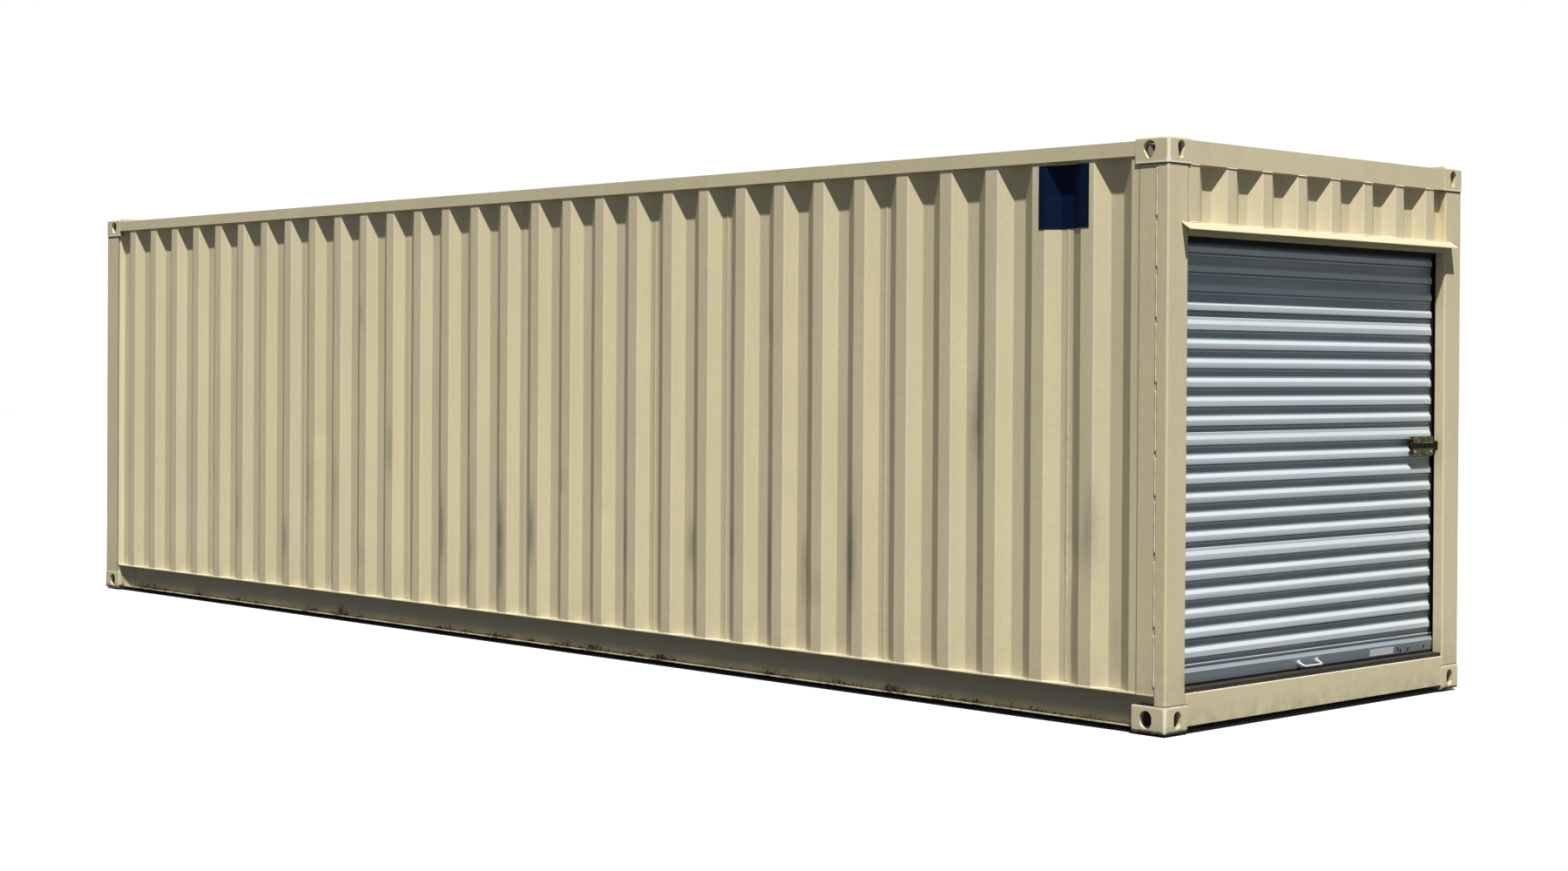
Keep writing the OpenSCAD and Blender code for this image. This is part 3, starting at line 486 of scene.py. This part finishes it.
def thicken(piece, thickness, offset=-1):
    """Gives a sheet its thickness, behind its surface or (offset 1) in front of it."""
    solid = piece.modifiers.new("sheet", "SOLIDIFY")
    solid.thickness, solid.offset = thickness, offset


def pressed_sheet(name, line, levels, to_frame, material, seed, marks=(), greys=()):
    """A folded line carried upwards: depth is the line's, plus shallow waves and the dents."""
    along, z = np.meshgrid(line[:, 0], levels)
    depth = np.tile(line[:, 1], (len(levels), 1)) + hand_waves(along, z, levels, seed)
    if len(marks):
        depth = depth + bumps(along, z, marks)
    grey = bumps(along, z, greys) if len(greys) else np.zeros_like(depth)
    bent = np.tile(fold_highlight_share(line), (len(levels), 1))
    piece = grid_piece(name, to_frame(along, depth, z)[None], material)
    for label, values in (("scuff", grey), ("fold_highlight", bent)):
        attribute = piece.data.attributes.new(label, "FLOAT", "POINT")
        attribute.data.foreach_set("value", values.ravel().astype(np.float32))
    thicken(piece, SHEET)
    return piece


first_rib = WALL_FROM + END_SLOPE + (RIB_PITCH - RIB_OUTER - 2 * RIB_SLOPE) + RIB_SLOPE
rib_at = first_rib + RIB_PITCH * np.arange(WALL_RIBS)
wall_ends = [[WALL_FROM, RIB_FRONT], [WALL_FROM + END_SLOPE, RIB_BACK]], [[WALL_TO, RIB_FRONT]]
wall_corners = np.vstack([wall_ends[0], rib_corners(rib_at)[:-2], wall_ends[1]])
wall_line = rounded_bends(wall_corners, RIB_BEND, BEND_STEPS, spacing=0.024, margin=BEND_MARGIN)
wall_levels = np.linspace(WALL_FOOT, WALL_HEAD, 36)

# Dents as (along, height, half width, half height, depth); scuffs the same with a share of grey.
dents = [
    (5.04, 0.90, 0.03, 0.04, 0.006), (4.21, 0.47, 0.05, 0.08, 0.004), (6.66, 1.72, 0.04, 0.05, 0.004),
    (7.0, 0.42, 0.05, 0.07, 0.005), (8.59, 0.74, 0.06, 0.10, 0.004), (2.66, 1.13, 0.05, 0.06, 0.004),
    (3.1, 0.36, 0.06, 0.06, 0.005), (5.41, 0.78, 0.05, 0.05, 0.004), (1.4, 0.8, 0.05, 0.09, 0.003),
]
scuffs = [
    (7.235, 0.64, 0.04, 0.26, 1.0), (6.67, 0.60, 0.025, 0.27, 1.0), (6.40, 0.67, 0.025, 0.10, 0.7),
    (6.08, 0.64, 0.04, 0.12, 0.7), (5.565, 0.64, 0.025, 0.15, 0.8), (6.91, 0.57, 0.04, 0.18, 0.6),
    (3.93, 0.61, 0.03, 0.22, 0.9), (4.19, 0.48, 0.03, 0.30, 0.8), (4.49, 0.54, 0.035, 0.33, 1.0),
    (4.77, 0.65, 0.03, 0.16, 0.85), (3.10, 1.88, 0.03, 0.07, 0.5), (3.41, 1.08, 0.03, 0.16, 0.5),
    (2.26, 0.46, 0.05, 0.12, 0.65), (2.53, 0.82, 0.03, 0.16, 0.5), (2.81, 0.83, 0.03, 0.16, 0.5),
    (8.04, 1.38, 0.025, 0.22, 0.95), (8.0, 1.28, 0.03, 0.16, 0.45), (8.70, 0.87, 0.04, 0.18, 0.5),
    (8.83, 0.40, 0.03, 0.10, 0.25), (1.7, 0.6, 0.04, 0.18, 0.5),
]

wall_coat, tree, shader = new_material("tan_coat_on_walls")
base = group(tree, coat, Colour=TAN)
place = place_in(tree)
scuff, fold_highlight = (put(tree, "ShaderNodeAttribute", {"attribute_name": name}).outputs["Fac"] for name in ("scuff", "fold_highlight"))
broken = span(tree, noise(tree, stretched(tree, place, 60.0, 60.0, 7.0), 1.0, 5.0, 0.7), 0.3, 0.62, 0.55, 1.0)
smear = calc(tree, "MULTIPLY", calc(tree, "MULTIPLY", scuff, broken), 0.9, clamp=True)
brownish = span(tree, noise(tree, stretched(tree, place, 1.3, 1.3, 0.2), 1.0, 1.0), 0.52, 0.6)
smear_hue = tint(tree, brownish, (0.105, 0.1, 0.088, 1), (0.22, 0.15, 0.09, 1))
# Painted highlight: pale chalk along the bends of the ribs, strongest on the outer bends.
highlighted = tint(tree, calc(tree, "MULTIPLY", fold_highlight, 0.4), base["Colour"], PAINTED_HIGHLIGHT)
marked = tint(tree, smear, highlighted, smear_hue)
soiled, _ = soil(tree, marked, reach=0.42, amount=0.25, cover=0.22, size=110.0, below=0.6)
wire(tree, shader, Base_Color=soiled, Roughness=base["Roughness"])
roughen(tree, shader, base["Height"], strength=0.25, distance=0.0006)

left_wall = pressed_sheet(
    "corrugated_wall_left", wall_line, wall_levels,
    lambda u, d, z: np.stack([u - BOX_END, d - BOX_SIDE, z], -1), wall_coat, LEFT_SEED, dents, scuffs,
)
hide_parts("side_wall_left")
other_dents = [(9.0 - along, *rest) for along, *rest in dents[3:]]
other_scuffs = [(9.1 - along, *rest, 0.6 * grey) for along, *rest, grey in scuffs[::2]]
right_wall = pressed_sheet(
    "corrugated_wall_right", wall_line[::-1], wall_levels,
    lambda u, d, z: np.stack([u - BOX_END, BOX_SIDE - d, z], -1), wall_coat, RIGHT_SEED, other_dents, other_scuffs,
)
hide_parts("side_wall_right")

# Wall welds: an upright bead in the middle of every fourth flute or so, where two sheets meet,
# and one along each wall's foot that follows the ribs.
joint_at = rib_at[[4, 8, 12, 16, 20, 22, 26, 30]] - RIB_SLOPE - 0.03 - BOX_END
for side, sign in (("left", -1), ("right", 1)):
    y = sign * (BOX_SIDE - RIB_BACK + 0.0003)
    joints = straight(
        [(x, y, WALL_FOOT + 0.003) for x in joint_at], [(x, y, WALL_HEAD - 0.002) for x in joint_at], 240,
    )
    beads = weld_beads(joints, radius=0.0075, ripple=0.02, squash=(0.13, 1.0))
    grid_piece(f"wall_joint_welds_{side}", beads, wall_coat, wrap=True)
    foot = [(u - BOX_END, sign * (BOX_SIDE - depth + 0.0005), WALL_FOOT + 0.001) for u, depth in wall_line]
    beads = weld_beads(np.array([foot]), radius=0.0032, ripple=0.037, around=6)
    grid_piece(f"wall_foot_weld_{side}", beads, weld_highlight_coat, wrap=True)

# Far wall and roof: deep steep ribs behind, and stamped troughs on top, both plain sheet.
# The roof gathers dust and weathers duller than the walls.
roof_coat = tan_paint("tan_coat_on_roof", reach=4.0, amount=0.55, cover=0.0, colour=(0.57, 0.50, 0.32, 1))
dress(post_coat, "far_wall")
dress(roof_coat, "roof")

# Floor: plywood sheets screwed to steel cross members, darkened where loads are dragged over it.
# The cross members are channels with a black bituminous coating, brushed on thick and blotchy.
plywood, tree, shader = new_material("worn_plywood")
place = place_in(tree)
fibre = noise(tree, stretched(tree, place, 2.0, 60.0, 60.0), 1.0, 5.0)
tracks = span(tree, noise(tree, place, 3.0, 5.0), 0.4, 0.75, 0.0, 0.6)
wood = tint(tree, span(tree, fibre, 0.3, 0.7), (0.17, 0.1, 0.05, 1), (0.34, 0.22, 0.12, 1))
wire(
    tree, shader, Base_Color=tint(tree, tracks, wood, (0.1, 0.085, 0.07, 1)),
    Roughness=span(tree, fibre, 0.2, 0.8, 0.5, 0.75),
)
roughen(tree, shader, fibre, strength=0.3, distance=0.001)
dress(plywood, "floor_boards")


def cloudy(name, blotches, detail, tones, first, second, sheen, rough=0.55, bump=None, **settings):
    """A material of one noise, which turns a first colour into a second between two tones, and raises the roughness.

    Blotches are counted per metre along x, y and z; sheen is the lowest and highest roughness; a bump is a strength
    and a distance; settings are further inputs of the shader.
    """
    material, tree, shader = new_material(name)
    cloud = noise(tree, stretched(tree, place_in(tree), *blotches), 1.0, detail, rough)
    colour = tint(tree, span(tree, cloud, *tones), first, second)
    wire(tree, shader, Base_Color=colour, Roughness=span(tree, cloud, 0.3, 0.7, *sheen), **settings)
    if bump:
        roughen(tree, shader, cloud, *bump)
    return material


bitumen = cloudy(
    "black_underside_coating", (9.0, 9.0, 9.0), 6.0, (0.4, 0.75), (0.022, 0.02, 0.018, 1), (0.09, 0.075, 0.06, 1),
    sheen=(0.55, 0.8), bump=(0.3, 0.002),
)
dress(bitumen, "cross_members")

# Header over the opening: an offcut of the side wall's sheet, set between the door posts.
# It is welded all along to the top end rail and to the lintel.
HEADER_SIDE = BOX_SIDE - 0.152
header_at = -HEADER_SIDE + 0.08 - RIB_OUTER + RIB_PITCH * np.arange(9)
header_corners = np.vstack([[[-HEADER_SIDE - 0.3, RIB_FRONT]], rib_corners(header_at)[2:]])
header_line = rounded_bends(header_corners, RIB_BEND, BEND_STEPS, spacing=0.03, margin=BEND_MARGIN)
cuts = np.array([-HEADER_SIDE, HEADER_SIDE])
cut_ends = np.stack([cuts, np.interp(cuts, header_line[:, 0], header_line[:, 1])], 1)
header_line = np.vstack([cut_ends[:1], header_line[np.abs(header_line[:, 0]) < HEADER_SIDE], cut_ends[1:]])
low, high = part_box("header_panel")
header = pressed_sheet(
    "corrugated_header", header_line, np.linspace(low.z, high.z, 9),
    lambda u, d, z: np.stack([BOX_END - d, u, z], -1), wall_coat, seed=0.9,
)
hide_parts("header_panel")
hems = [
    [(BOX_END - depth + 0.0005, y, level) for y, depth in header_line] for level in (low.z + 0.002, high.z - 0.002)
]
beads = weld_beads(np.array(hems), radius=0.003, ripple=0.031, around=6)
grid_piece("header_welds", beads, weld_highlight_coat, wrap=True)

# Lintel, drip cap and sill: folded steel in the same tan.
# The sill's upper front edge carries a painted highlight of pale chalk, and short tack welds along it hold the
# threshold.
sill_coat = tan_paint("tan_coat_on_sill", reach=0.13, amount=0.55, cover=0.36, size=90.0, below=0.06)
dress(sill_coat, "door_sill")
dress(post_coat, "lintel", "drip_cap")
low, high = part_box("door_sill")
tree = sill_coat.node_tree
spot = split(tree, place_in(tree))
at_top = span(tree, spot["Z"], high.z - 0.006, high.z - 0.004)
at_front = span(tree, spot["X"], high.x - 0.006, high.x - 0.004, 0.0, 0.9)
# Painted highlight: pale chalk along the sill's upper front edge.
overpaint(tree, calc(tree, "MULTIPLY", at_top, at_front), PAINTED_HIGHLIGHT)
tack_x, tack_z, tack_half = high.x - 0.002, high.z - 0.001, 0.012
tack_y = (-0.99, -0.656, -0.29, 0.131, 0.536, 0.884)
tacks = straight(
    [(tack_x, y - tack_half, tack_z) for y in tack_y], [(tack_x, y + tack_half, tack_z) for y in tack_y], 14,
)
beads = weld_beads(tacks, radius=0.0035, ripple=0.02, squash=(0.8, 1.0))
grid_piece("sill_tack_welds", beads, weld_highlight_coat, wrap=True)

# Threshold: a folded steel bar on the sill, under the closed shutter.
# Feet and trolleys have worn it bare, and it is brown and rough with rust.
rusted, tree, shader = new_material("brown_rusted_steel")
place = place_in(tree)
crust = noise(tree, place, 30.0, 8.0, 0.7)
bloom = span(tree, noise(tree, place, 5.0, 5.0), 0.5, 0.75, 0.0, 0.7)
steel = tint(tree, span(tree, crust, 0.3, 0.7), (0.014, 0.0125, 0.01, 1), (0.042, 0.037, 0.029, 1))
wire(
    tree, shader, Base_Color=tint(tree, bloom, steel, (0.05, 0.036, 0.024, 1)),
    Roughness=span(tree, crust, 0.2, 0.8, 0.6, 0.85), Specular_IOR_Level=0.2,
)
roughen(tree, shader, crust, strength=0.4, distance=0.002)
dress(rusted, "threshold")

# Seals: strips of black rubber, dusty and dull, one behind the lintel and one under the bottom bar.
# The guides in the jambs get the same black and dull rubber, as painted shade.
rubber_and_guide_shade = cloudy(
    "black_rubber_and_guide_shade", (40.0, 40.0, 40.0), 5.0, (0.4, 0.8), (0.004, 0.004, 0.0045, 1), (0.014, 0.013, 0.012, 1),
    sheen=(0.55, 0.8), Specular_IOR_Level=0.2,
)
# The seals are black rubber; on the guides the same black is painted shade.
dress(rubber_and_guide_shade, "head_seal", "shutter_foot_seal", "shutter_guide_left", "shutter_guide_right")

# Shutter: a galvanised curtain roll-formed with ribs that fade out before the guides, and a folded bottom bar.
# Sheets of six ribs lap at a hem. The zinc is bright on slopes, with faint drawn lines; blue-grey painted shade lies in
# its valleys, dark painted shade on its undersides and near-black painted shade on its margins in the guides.
SLATS, SHEET_SLATS, SLAT_FOOT, SLAT_PITCH = 24, 6, 0.268, 0.085
SLAT_FLAT, SLAT_RETURN, SLAT_CREST = 0.037, 0.006, 0.024
CREST_DEPTH, VALLEY_DEPTH, STEP_DEPTH, HEM_LAP = 0.064, 0.077, 0.0745, 0.004
CURTAIN_FOOT, CURTAIN_HEAD, CURTAIN_SIDE = 0.262, 2.284, BOX_SIDE - 0.114
RIB_END, RIB_FADE, MARGIN_FROM, MARGIN_TO = 1.058, 0.016, 1.05, 1.056
CURTAIN_SHEET = 0.0012

zinc, tree, shader = new_material("galvanised_sheet")
place = place_in(tree)
spot = split(tree, place)
drawn = noise(tree, stretched(tree, place, 40.0, 1.2, 220.0), 1.0, 4.0)
spangle = put(tree, "ShaderNodeTexVoronoi", None, Vector=place, Scale=70.0).outputs["Color"]
flake = put(tree, "ShaderNodeSeparateColor", None, Color=spangle).outputs[0]
stain = span(tree, noise(tree, stretched(tree, place, 2.0, 2.0, 1.2), 1.0, 5.0), 0.5, 0.8, 0.0, 0.35)
# Painted shade: blue-grey in the valleys.
valley_shade = span(tree, spot["X"], BOX_END - VALLEY_DEPTH + 0.001, BOX_END - STEP_DEPTH + 0.001, 0.8, 0.0)
# Painted shade: dark on faces that look down.
underneath = span(tree, facing_up(tree), -0.6, -0.2, 0.8, 0.0)
# Painted shade: near black on the margins in the guides.
guide_shade = span(tree, calc(tree, "ABSOLUTE", spot["Y"]), MARGIN_FROM, MARGIN_TO, 0.0, 0.97)
colour = tint(tree, span(tree, drawn, 0.25, 0.75), (0.565, 0.61, 0.62, 1), (0.63, 0.67, 0.68, 1))
colour = tint(tree, calc(tree, "MULTIPLY", flake, 0.12), colour, (0.46, 0.515, 0.535, 1))
colour = tint(tree, stain, colour, (0.48, 0.53, 0.54, 1))
colour = tint(tree, valley_shade, colour, (0.22, 0.285, 0.325, 1))
colour = tint(tree, underneath, colour, (0.045, 0.065, 0.078, 1))
colour = tint(tree, guide_shade, colour, (0.006, 0.006, 0.007, 1))
wire(tree, shader, Base_Color=colour, Roughness=span(tree, flake, 0.0, 1.0, 0.30, 0.42), Metallic=0.2)
roughen(tree, shader, drawn, strength=0.03, distance=0.0005)

slat_at = SLAT_FOOT + SLAT_PITCH * np.arange(SLATS)
slat_rise = np.array([
    0, 0.0125, 0.015, SLAT_FLAT - 0.011, SLAT_FLAT - 0.008, SLAT_FLAT,
    SLAT_FLAT + SLAT_RETURN, SLAT_FLAT + SLAT_RETURN + SLAT_CREST,
])
slat_depth = np.tile(np.repeat([VALLEY_DEPTH, VALLEY_DEPTH, STEP_DEPTH, CREST_DEPTH], 2), (SLATS, 1))
slat_depth[::SHEET_SLATS, :2] = VALLEY_DEPTH - HEM_LAP
slat_depth[0, 0] = VALLEY_DEPTH
slat_corners = np.stack([slat_at[:, None] + slat_rise, slat_depth], -1).reshape(-1, 2)
slat_corners = np.vstack([[[CURTAIN_FOOT, VALLEY_DEPTH]], slat_corners])
slat_line = rounded_bends(slat_corners, reach=0.0012, steps=3, spacing=0.02)
slat_line = slat_line[slat_line[:, 0] <= CURTAIN_HEAD]
rib_ends = np.linspace(1.030, 1.066, 10)
across = np.unique(np.concatenate([np.linspace(-CURTAIN_SIDE, CURTAIN_SIDE, 25), rib_ends, -rib_ends]))
z, y = np.meshgrid(slat_line[:, 0], across)
rise = VALLEY_DEPTH - np.tile(slat_line[:, 1], (len(across), 1))
fade = np.clip((RIB_END - np.abs(y)) / RIB_FADE, 0, 1)
depth = VALLEY_DEPTH - rise * fade ** 2 * (3 - 2 * fade)
depth = depth + 0.0004 * np.sin(y * 5.0 + z * 3.0) * np.sin(z * 4.1)
curtain = grid_piece("ribbed_curtain", np.stack([BOX_END - depth, y, z], -1)[None], zinc)
thicken(curtain, CURTAIN_SHEET)
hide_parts("shutter_curtain")

drawn_bar = cloudy(
    "drawn_bar_metal", (200.0, 1.5, 200.0), 4.0, (0.3, 0.7), (0.255, 0.295, 0.315, 1), (0.325, 0.365, 0.385, 1),
    sheen=(0.28, 0.38), Metallic=0.3,
)
dress(drawn_bar, "shutter_bottom_bar")

# Label and screws on the bar: a bare strip of pale film, scuffed and stuck flat on the bar's leaning face,
# and dark pan-head screws near the bar's right end.
BAR_DEPTH, BAR_FOOT, BAR_LEAN = 0.0682, 0.198, 8 / 49
FILM = 0.0003


def on_bar(y, z, proud):
    """A point in front of the bar's leaning face by a small distance."""
    return np.stack(np.broadcast_arrays(BOX_END - BAR_DEPTH + (z - BAR_FOOT) * BAR_LEAN + proud, y, z), -1)


def pan_heads(face, y, z, radius, height):
    """Dish-shaped heads on a face: a flat foot, then rings of a falling radius r = R cos t at a height H sin t."""
    t = np.linspace(0, np.pi / 2, 6)
    ring, rise = (np.concatenate([[0], size])[None, :, None] for size in (radius * np.cos(t), height * np.sin(t)))
    turn = np.linspace(0, 2 * np.pi, 14, endpoint=False)[None, None, :]
    y, z = np.asarray(y)[:, None, None], np.asarray(z)[:, None, None]
    return face(y + ring * np.cos(turn), z + ring * np.sin(turn), rise)


pale_film = cloudy(
    "pale_label_film", (90.0, 90.0, 90.0), 5.0, (0.4, 0.65), (0.95, 0.95, 0.94, 1), (0.66, 0.68, 0.69, 1),
    sheen=(0.4, 0.6), rough=0.7,
)
label_y, label_z = np.meshgrid(np.linspace(0.505, 0.716, 12), np.linspace(0.203, 0.237, 4))
label = grid_piece("bare_bar_label", on_bar(label_y, label_z, proud=0.0006)[None], pale_film)
thicken(label, FILM)
screw_steel = cloudy(
    "dark_screw_steel", (120.0, 120.0, 120.0), 4.0, (0.3, 0.7), (0.01, 0.01, 0.011, 1), (0.045, 0.045, 0.048, 1),
    sheen=(0.35, 0.55), Metallic=0.5,
)
screw_y, screw_z = (0.755, 0.782, 0.848, 0.994), (0.223, 0.214, 0.218, 0.219)
heads = pan_heads(on_bar, screw_y, screw_z, radius=0.008, height=0.0025)
grid_piece("bar_screws", heads, screw_steel, wrap=True)

# Latch: a folded, yellow-zinc channel with lips, tarnished and scratched, screwed to two of the curtain's ribs.
# Its bolt is blackened steel and slides in the channel, into a slot in the door post.
LATCH_SCREW = 0.019
olive, tree, shader = new_material("olive_zinc_plating")
place = place_in(tree)
tarnish = noise(tree, place, 45.0, 6.0, 0.65)
plating = tint(tree, span(tree, tarnish, 0.35, 0.68), (0.04, 0.032, 0.013, 1), (0.24, 0.2, 0.085, 1))
slanted = put(tree, "ShaderNodeMapping", None, Vector=place, Rotation=(0.75, 0, 0), Scale=(1, 14, 160)).outputs[0]
scratched = span(tree, noise(tree, slanted, 1.0, 3.0), 0.58, 0.66, 0.0, 0.75)
wire(
    tree, shader, Base_Color=tint(tree, scratched, plating, (0.5, 0.44, 0.25, 1)),
    Roughness=span(tree, tarnish, 0.3, 0.7, 0.3, 0.55), Metallic=0.6,
)
roughen(tree, shader, tarnish, strength=0.15, distance=0.0006)
dress(olive, "latch_body")
blackened = cloudy(
    "blackened_bolt_steel", (60.0, 8.0, 60.0), 5.0, (0.4, 0.75), (0.008, 0.0065, 0.004, 1), (0.032, 0.025, 0.015, 1),
    sheen=(0.4, 0.6), Specular_IOR_Level=0.12,
)
dress(blackened, "latch_bolt")
screw_zinc = cloudy(
    "bright_screw_zinc", (200.0, 200.0, 200.0), 3.0, (0.35, 0.65), (0.8, 0.78, 0.7, 1), (0.5, 0.47, 0.38, 1),
    sheen=(0.25, 0.45), Metallic=0.4,
)
low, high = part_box("latch_body")


def on_latch(y, z, proud):
    """A point in front of the latch's lips by a small distance."""
    return np.stack(np.broadcast_arrays(high.x + proud, y, z), -1)


latch_y, latch_z = (low.y + LATCH_SCREW, high.y - LATCH_SCREW), 2 * (low.z + LATCH_SCREW,)
heads = pan_heads(on_latch, latch_y, latch_z, radius=0.005, height=0.003)
grid_piece("latch_screws", heads, screw_zinc, wrap=True)

# Lift handle: a steel bar bent to a grip and riveted to the bottom bar.
# It is plated bright, with fine scratches along it from hands.
plated = cloudy(
    "bright_plated_bar", (300.0, 12.0, 300.0), 4.0, (0.4, 0.7), (0.72, 0.73, 0.74, 1), (0.85, 0.85, 0.85, 1),
    sheen=(0.1, 0.24), Metallic=0.45,
)
dress(plated, "lift_handle")

# Sign: a square of plain navy film with nothing on it, matt and a little chalky.
# It is stuck high on the side wall and follows the ribs, just clear of the weld beneath it.
SIGN_FROM, SIGN_TO, SIGN_LOW, SIGN_HIGH, SIGN_GAP = 8.408, 8.692, 2.207, 2.4925, 0.0014
navy, tree, shader = new_material("navy_sign_film")
place = place_in(tree)
fading = noise(tree, place, 12.0, 5.0)
chalky = span(tree, noise(tree, place, 180.0, 3.0, 0.7), 0.55, 0.75, 0.0, 0.3)
deep_blue = tint(tree, span(tree, fading, 0.3, 0.7), (0.002, 0.007, 0.026, 1), (0.003, 0.010, 0.038, 1))
wire(
    tree, shader, Base_Color=tint(tree, chalky, deep_blue, (0.02, 0.042, 0.09, 1)),
    Roughness=span(tree, fading, 0.3, 0.7, 0.45, 0.6), Specular_IOR_Level=0.08,
)
under_sign = (wall_line[:, 0] > SIGN_FROM) & (wall_line[:, 0] < SIGN_TO)
sign_u = np.concatenate([[SIGN_FROM], wall_line[under_sign, 0], [SIGN_TO]])
along, z = np.meshgrid(sign_u, np.linspace(SIGN_LOW, SIGN_HIGH, 12))
depth = np.interp(along, wall_line[:, 0], wall_line[:, 1]) + hand_waves(along, z, wall_levels, LEFT_SEED) - SIGN_GAP
sign = grid_piece("bare_sign_film", np.stack([along - BOX_END, depth - BOX_SIDE, z], -1)[None], navy)
thicken(sign, FILM, offset=1)

# Stage: a plain pale floor and white surroundings. A lamp high on the right lights the box like a midday sun;
# a faint fill on the camera's side and a soft one behind light what it leaves dark.
# The camera's place, turn and lens are those that fit the box's corners in the photo.
floor_mesh = bpy.data.meshes.new("stage_floor")
floor_mesh.from_pydata([(-60, -60, -0.01), (60, -60, -0.01), (60, 60, -0.01), (-60, 60, -0.01)], [], [(0, 1, 2, 3)])
floor = bpy.data.objects.new("stage_floor", floor_mesh)
scene.collection.objects.link(floor)
floor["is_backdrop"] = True
pale, tree, shader = new_material("pale_floor")
path = put(tree, "ShaderNodeLightPath").outputs
seen = calc(tree, "ADD", path["Is Camera Ray"], calc(tree, "MULTIPLY", path["Is Glossy Ray"], 0.2), clamp=True)
bounced, shown = (0.045, 0.045, 0.043, 1), (0.62, 0.62, 0.61, 1)
wire(tree, shader, Base_Color=tint(tree, seen, bounced, shown), Roughness=1.0, Specular_IOR_Level=0.0)
floor_mesh.materials.append(pale)

world = bpy.data.worlds.new("studio")
scene.world = world
world.use_nodes = True
tree = world.node_tree
path = put(tree, "ShaderNodeLightPath").outputs
shiny = calc(tree, "ADD", path["Is Glossy Ray"], path["Is Transmission Ray"], clamp=True)
seen = calc(tree, "ADD", path["Is Camera Ray"], calc(tree, "MULTIPLY", shiny, 0.3), clamp=True)
sky_tint = tint(tree, path["Is Camera Ray"], (0.78, 0.97, 1.2, 1), (1, 1, 1, 1))
wire(tree, tree.nodes["Background"], Color=sky_tint, Strength=span(tree, seen, 0.0, 1.0, 0.09, 1.0))


def sun_lamp(name, towards, strength, spread):
    """A lamp of parallel light from a direction, whose shadows have soft edges of a spread in degrees.

    At a strength of 1 a matt face square to it shows its colour as written.
    """
    lamp = bpy.data.lights.new(name, "SUN")
    lamp.energy, lamp.angle = strength * math.pi, math.radians(spread)
    holder = bpy.data.objects.new(name, lamp)
    holder.rotation_mode = "QUATERNION"
    holder.rotation_quaternion = Vector(towards).to_track_quat("Z", "Y")
    scene.collection.objects.link(holder)


sun_lamp("key_sun", (0.32, -0.232, 0.9186), 2.05, 1.2)
sun_lamp("front_fill", (0.66, -0.72, 0.2), 0.05, 60.0)
sun_lamp("back_fill", (-0.66, 0.74, 0.12), 0.7, 50.0)

PHOTO_WIDTH, PHOTO_HEIGHT, SENSOR = 1800, 1000, 36.0
FOCAL_PIXELS, CENTRE_X, CENTRE_Y = 2765.561, 811.343, 439.595
EYE, TURN, TILT, ROLL = (10.78307, -9.73140, 1.57513), 0.819995, 0.006389, 0.006084
back = np.array([math.sin(TURN) * math.cos(TILT), -math.cos(TURN) * math.cos(TILT), math.sin(TILT)])
level_right = np.array([math.cos(TURN), math.sin(TURN), 0.0])
right = math.cos(ROLL) * level_right + math.sin(ROLL) * np.cross(back, level_right)
up = np.cross(back, right)
lens = bpy.data.cameras.new("photo_camera")
lens.sensor_fit, lens.sensor_width, lens.lens = "HORIZONTAL", SENSOR, FOCAL_PIXELS / PHOTO_WIDTH * SENSOR
lens.shift_x = (PHOTO_WIDTH / 2 - CENTRE_X) / PHOTO_WIDTH
lens.shift_y = (CENTRE_Y - PHOTO_HEIGHT / 2) / PHOTO_WIDTH
lens.clip_end = 200.0
camera = bpy.data.objects.new("photo_camera", lens)
camera.matrix_world = Matrix.Translation(EYE) @ Matrix(np.stack([right, up, back], 1).tolist()).to_4x4()
scene.collection.objects.link(camera)
scene.camera = camera
scene.view_settings.view_transform = "Standard"

low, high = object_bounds()
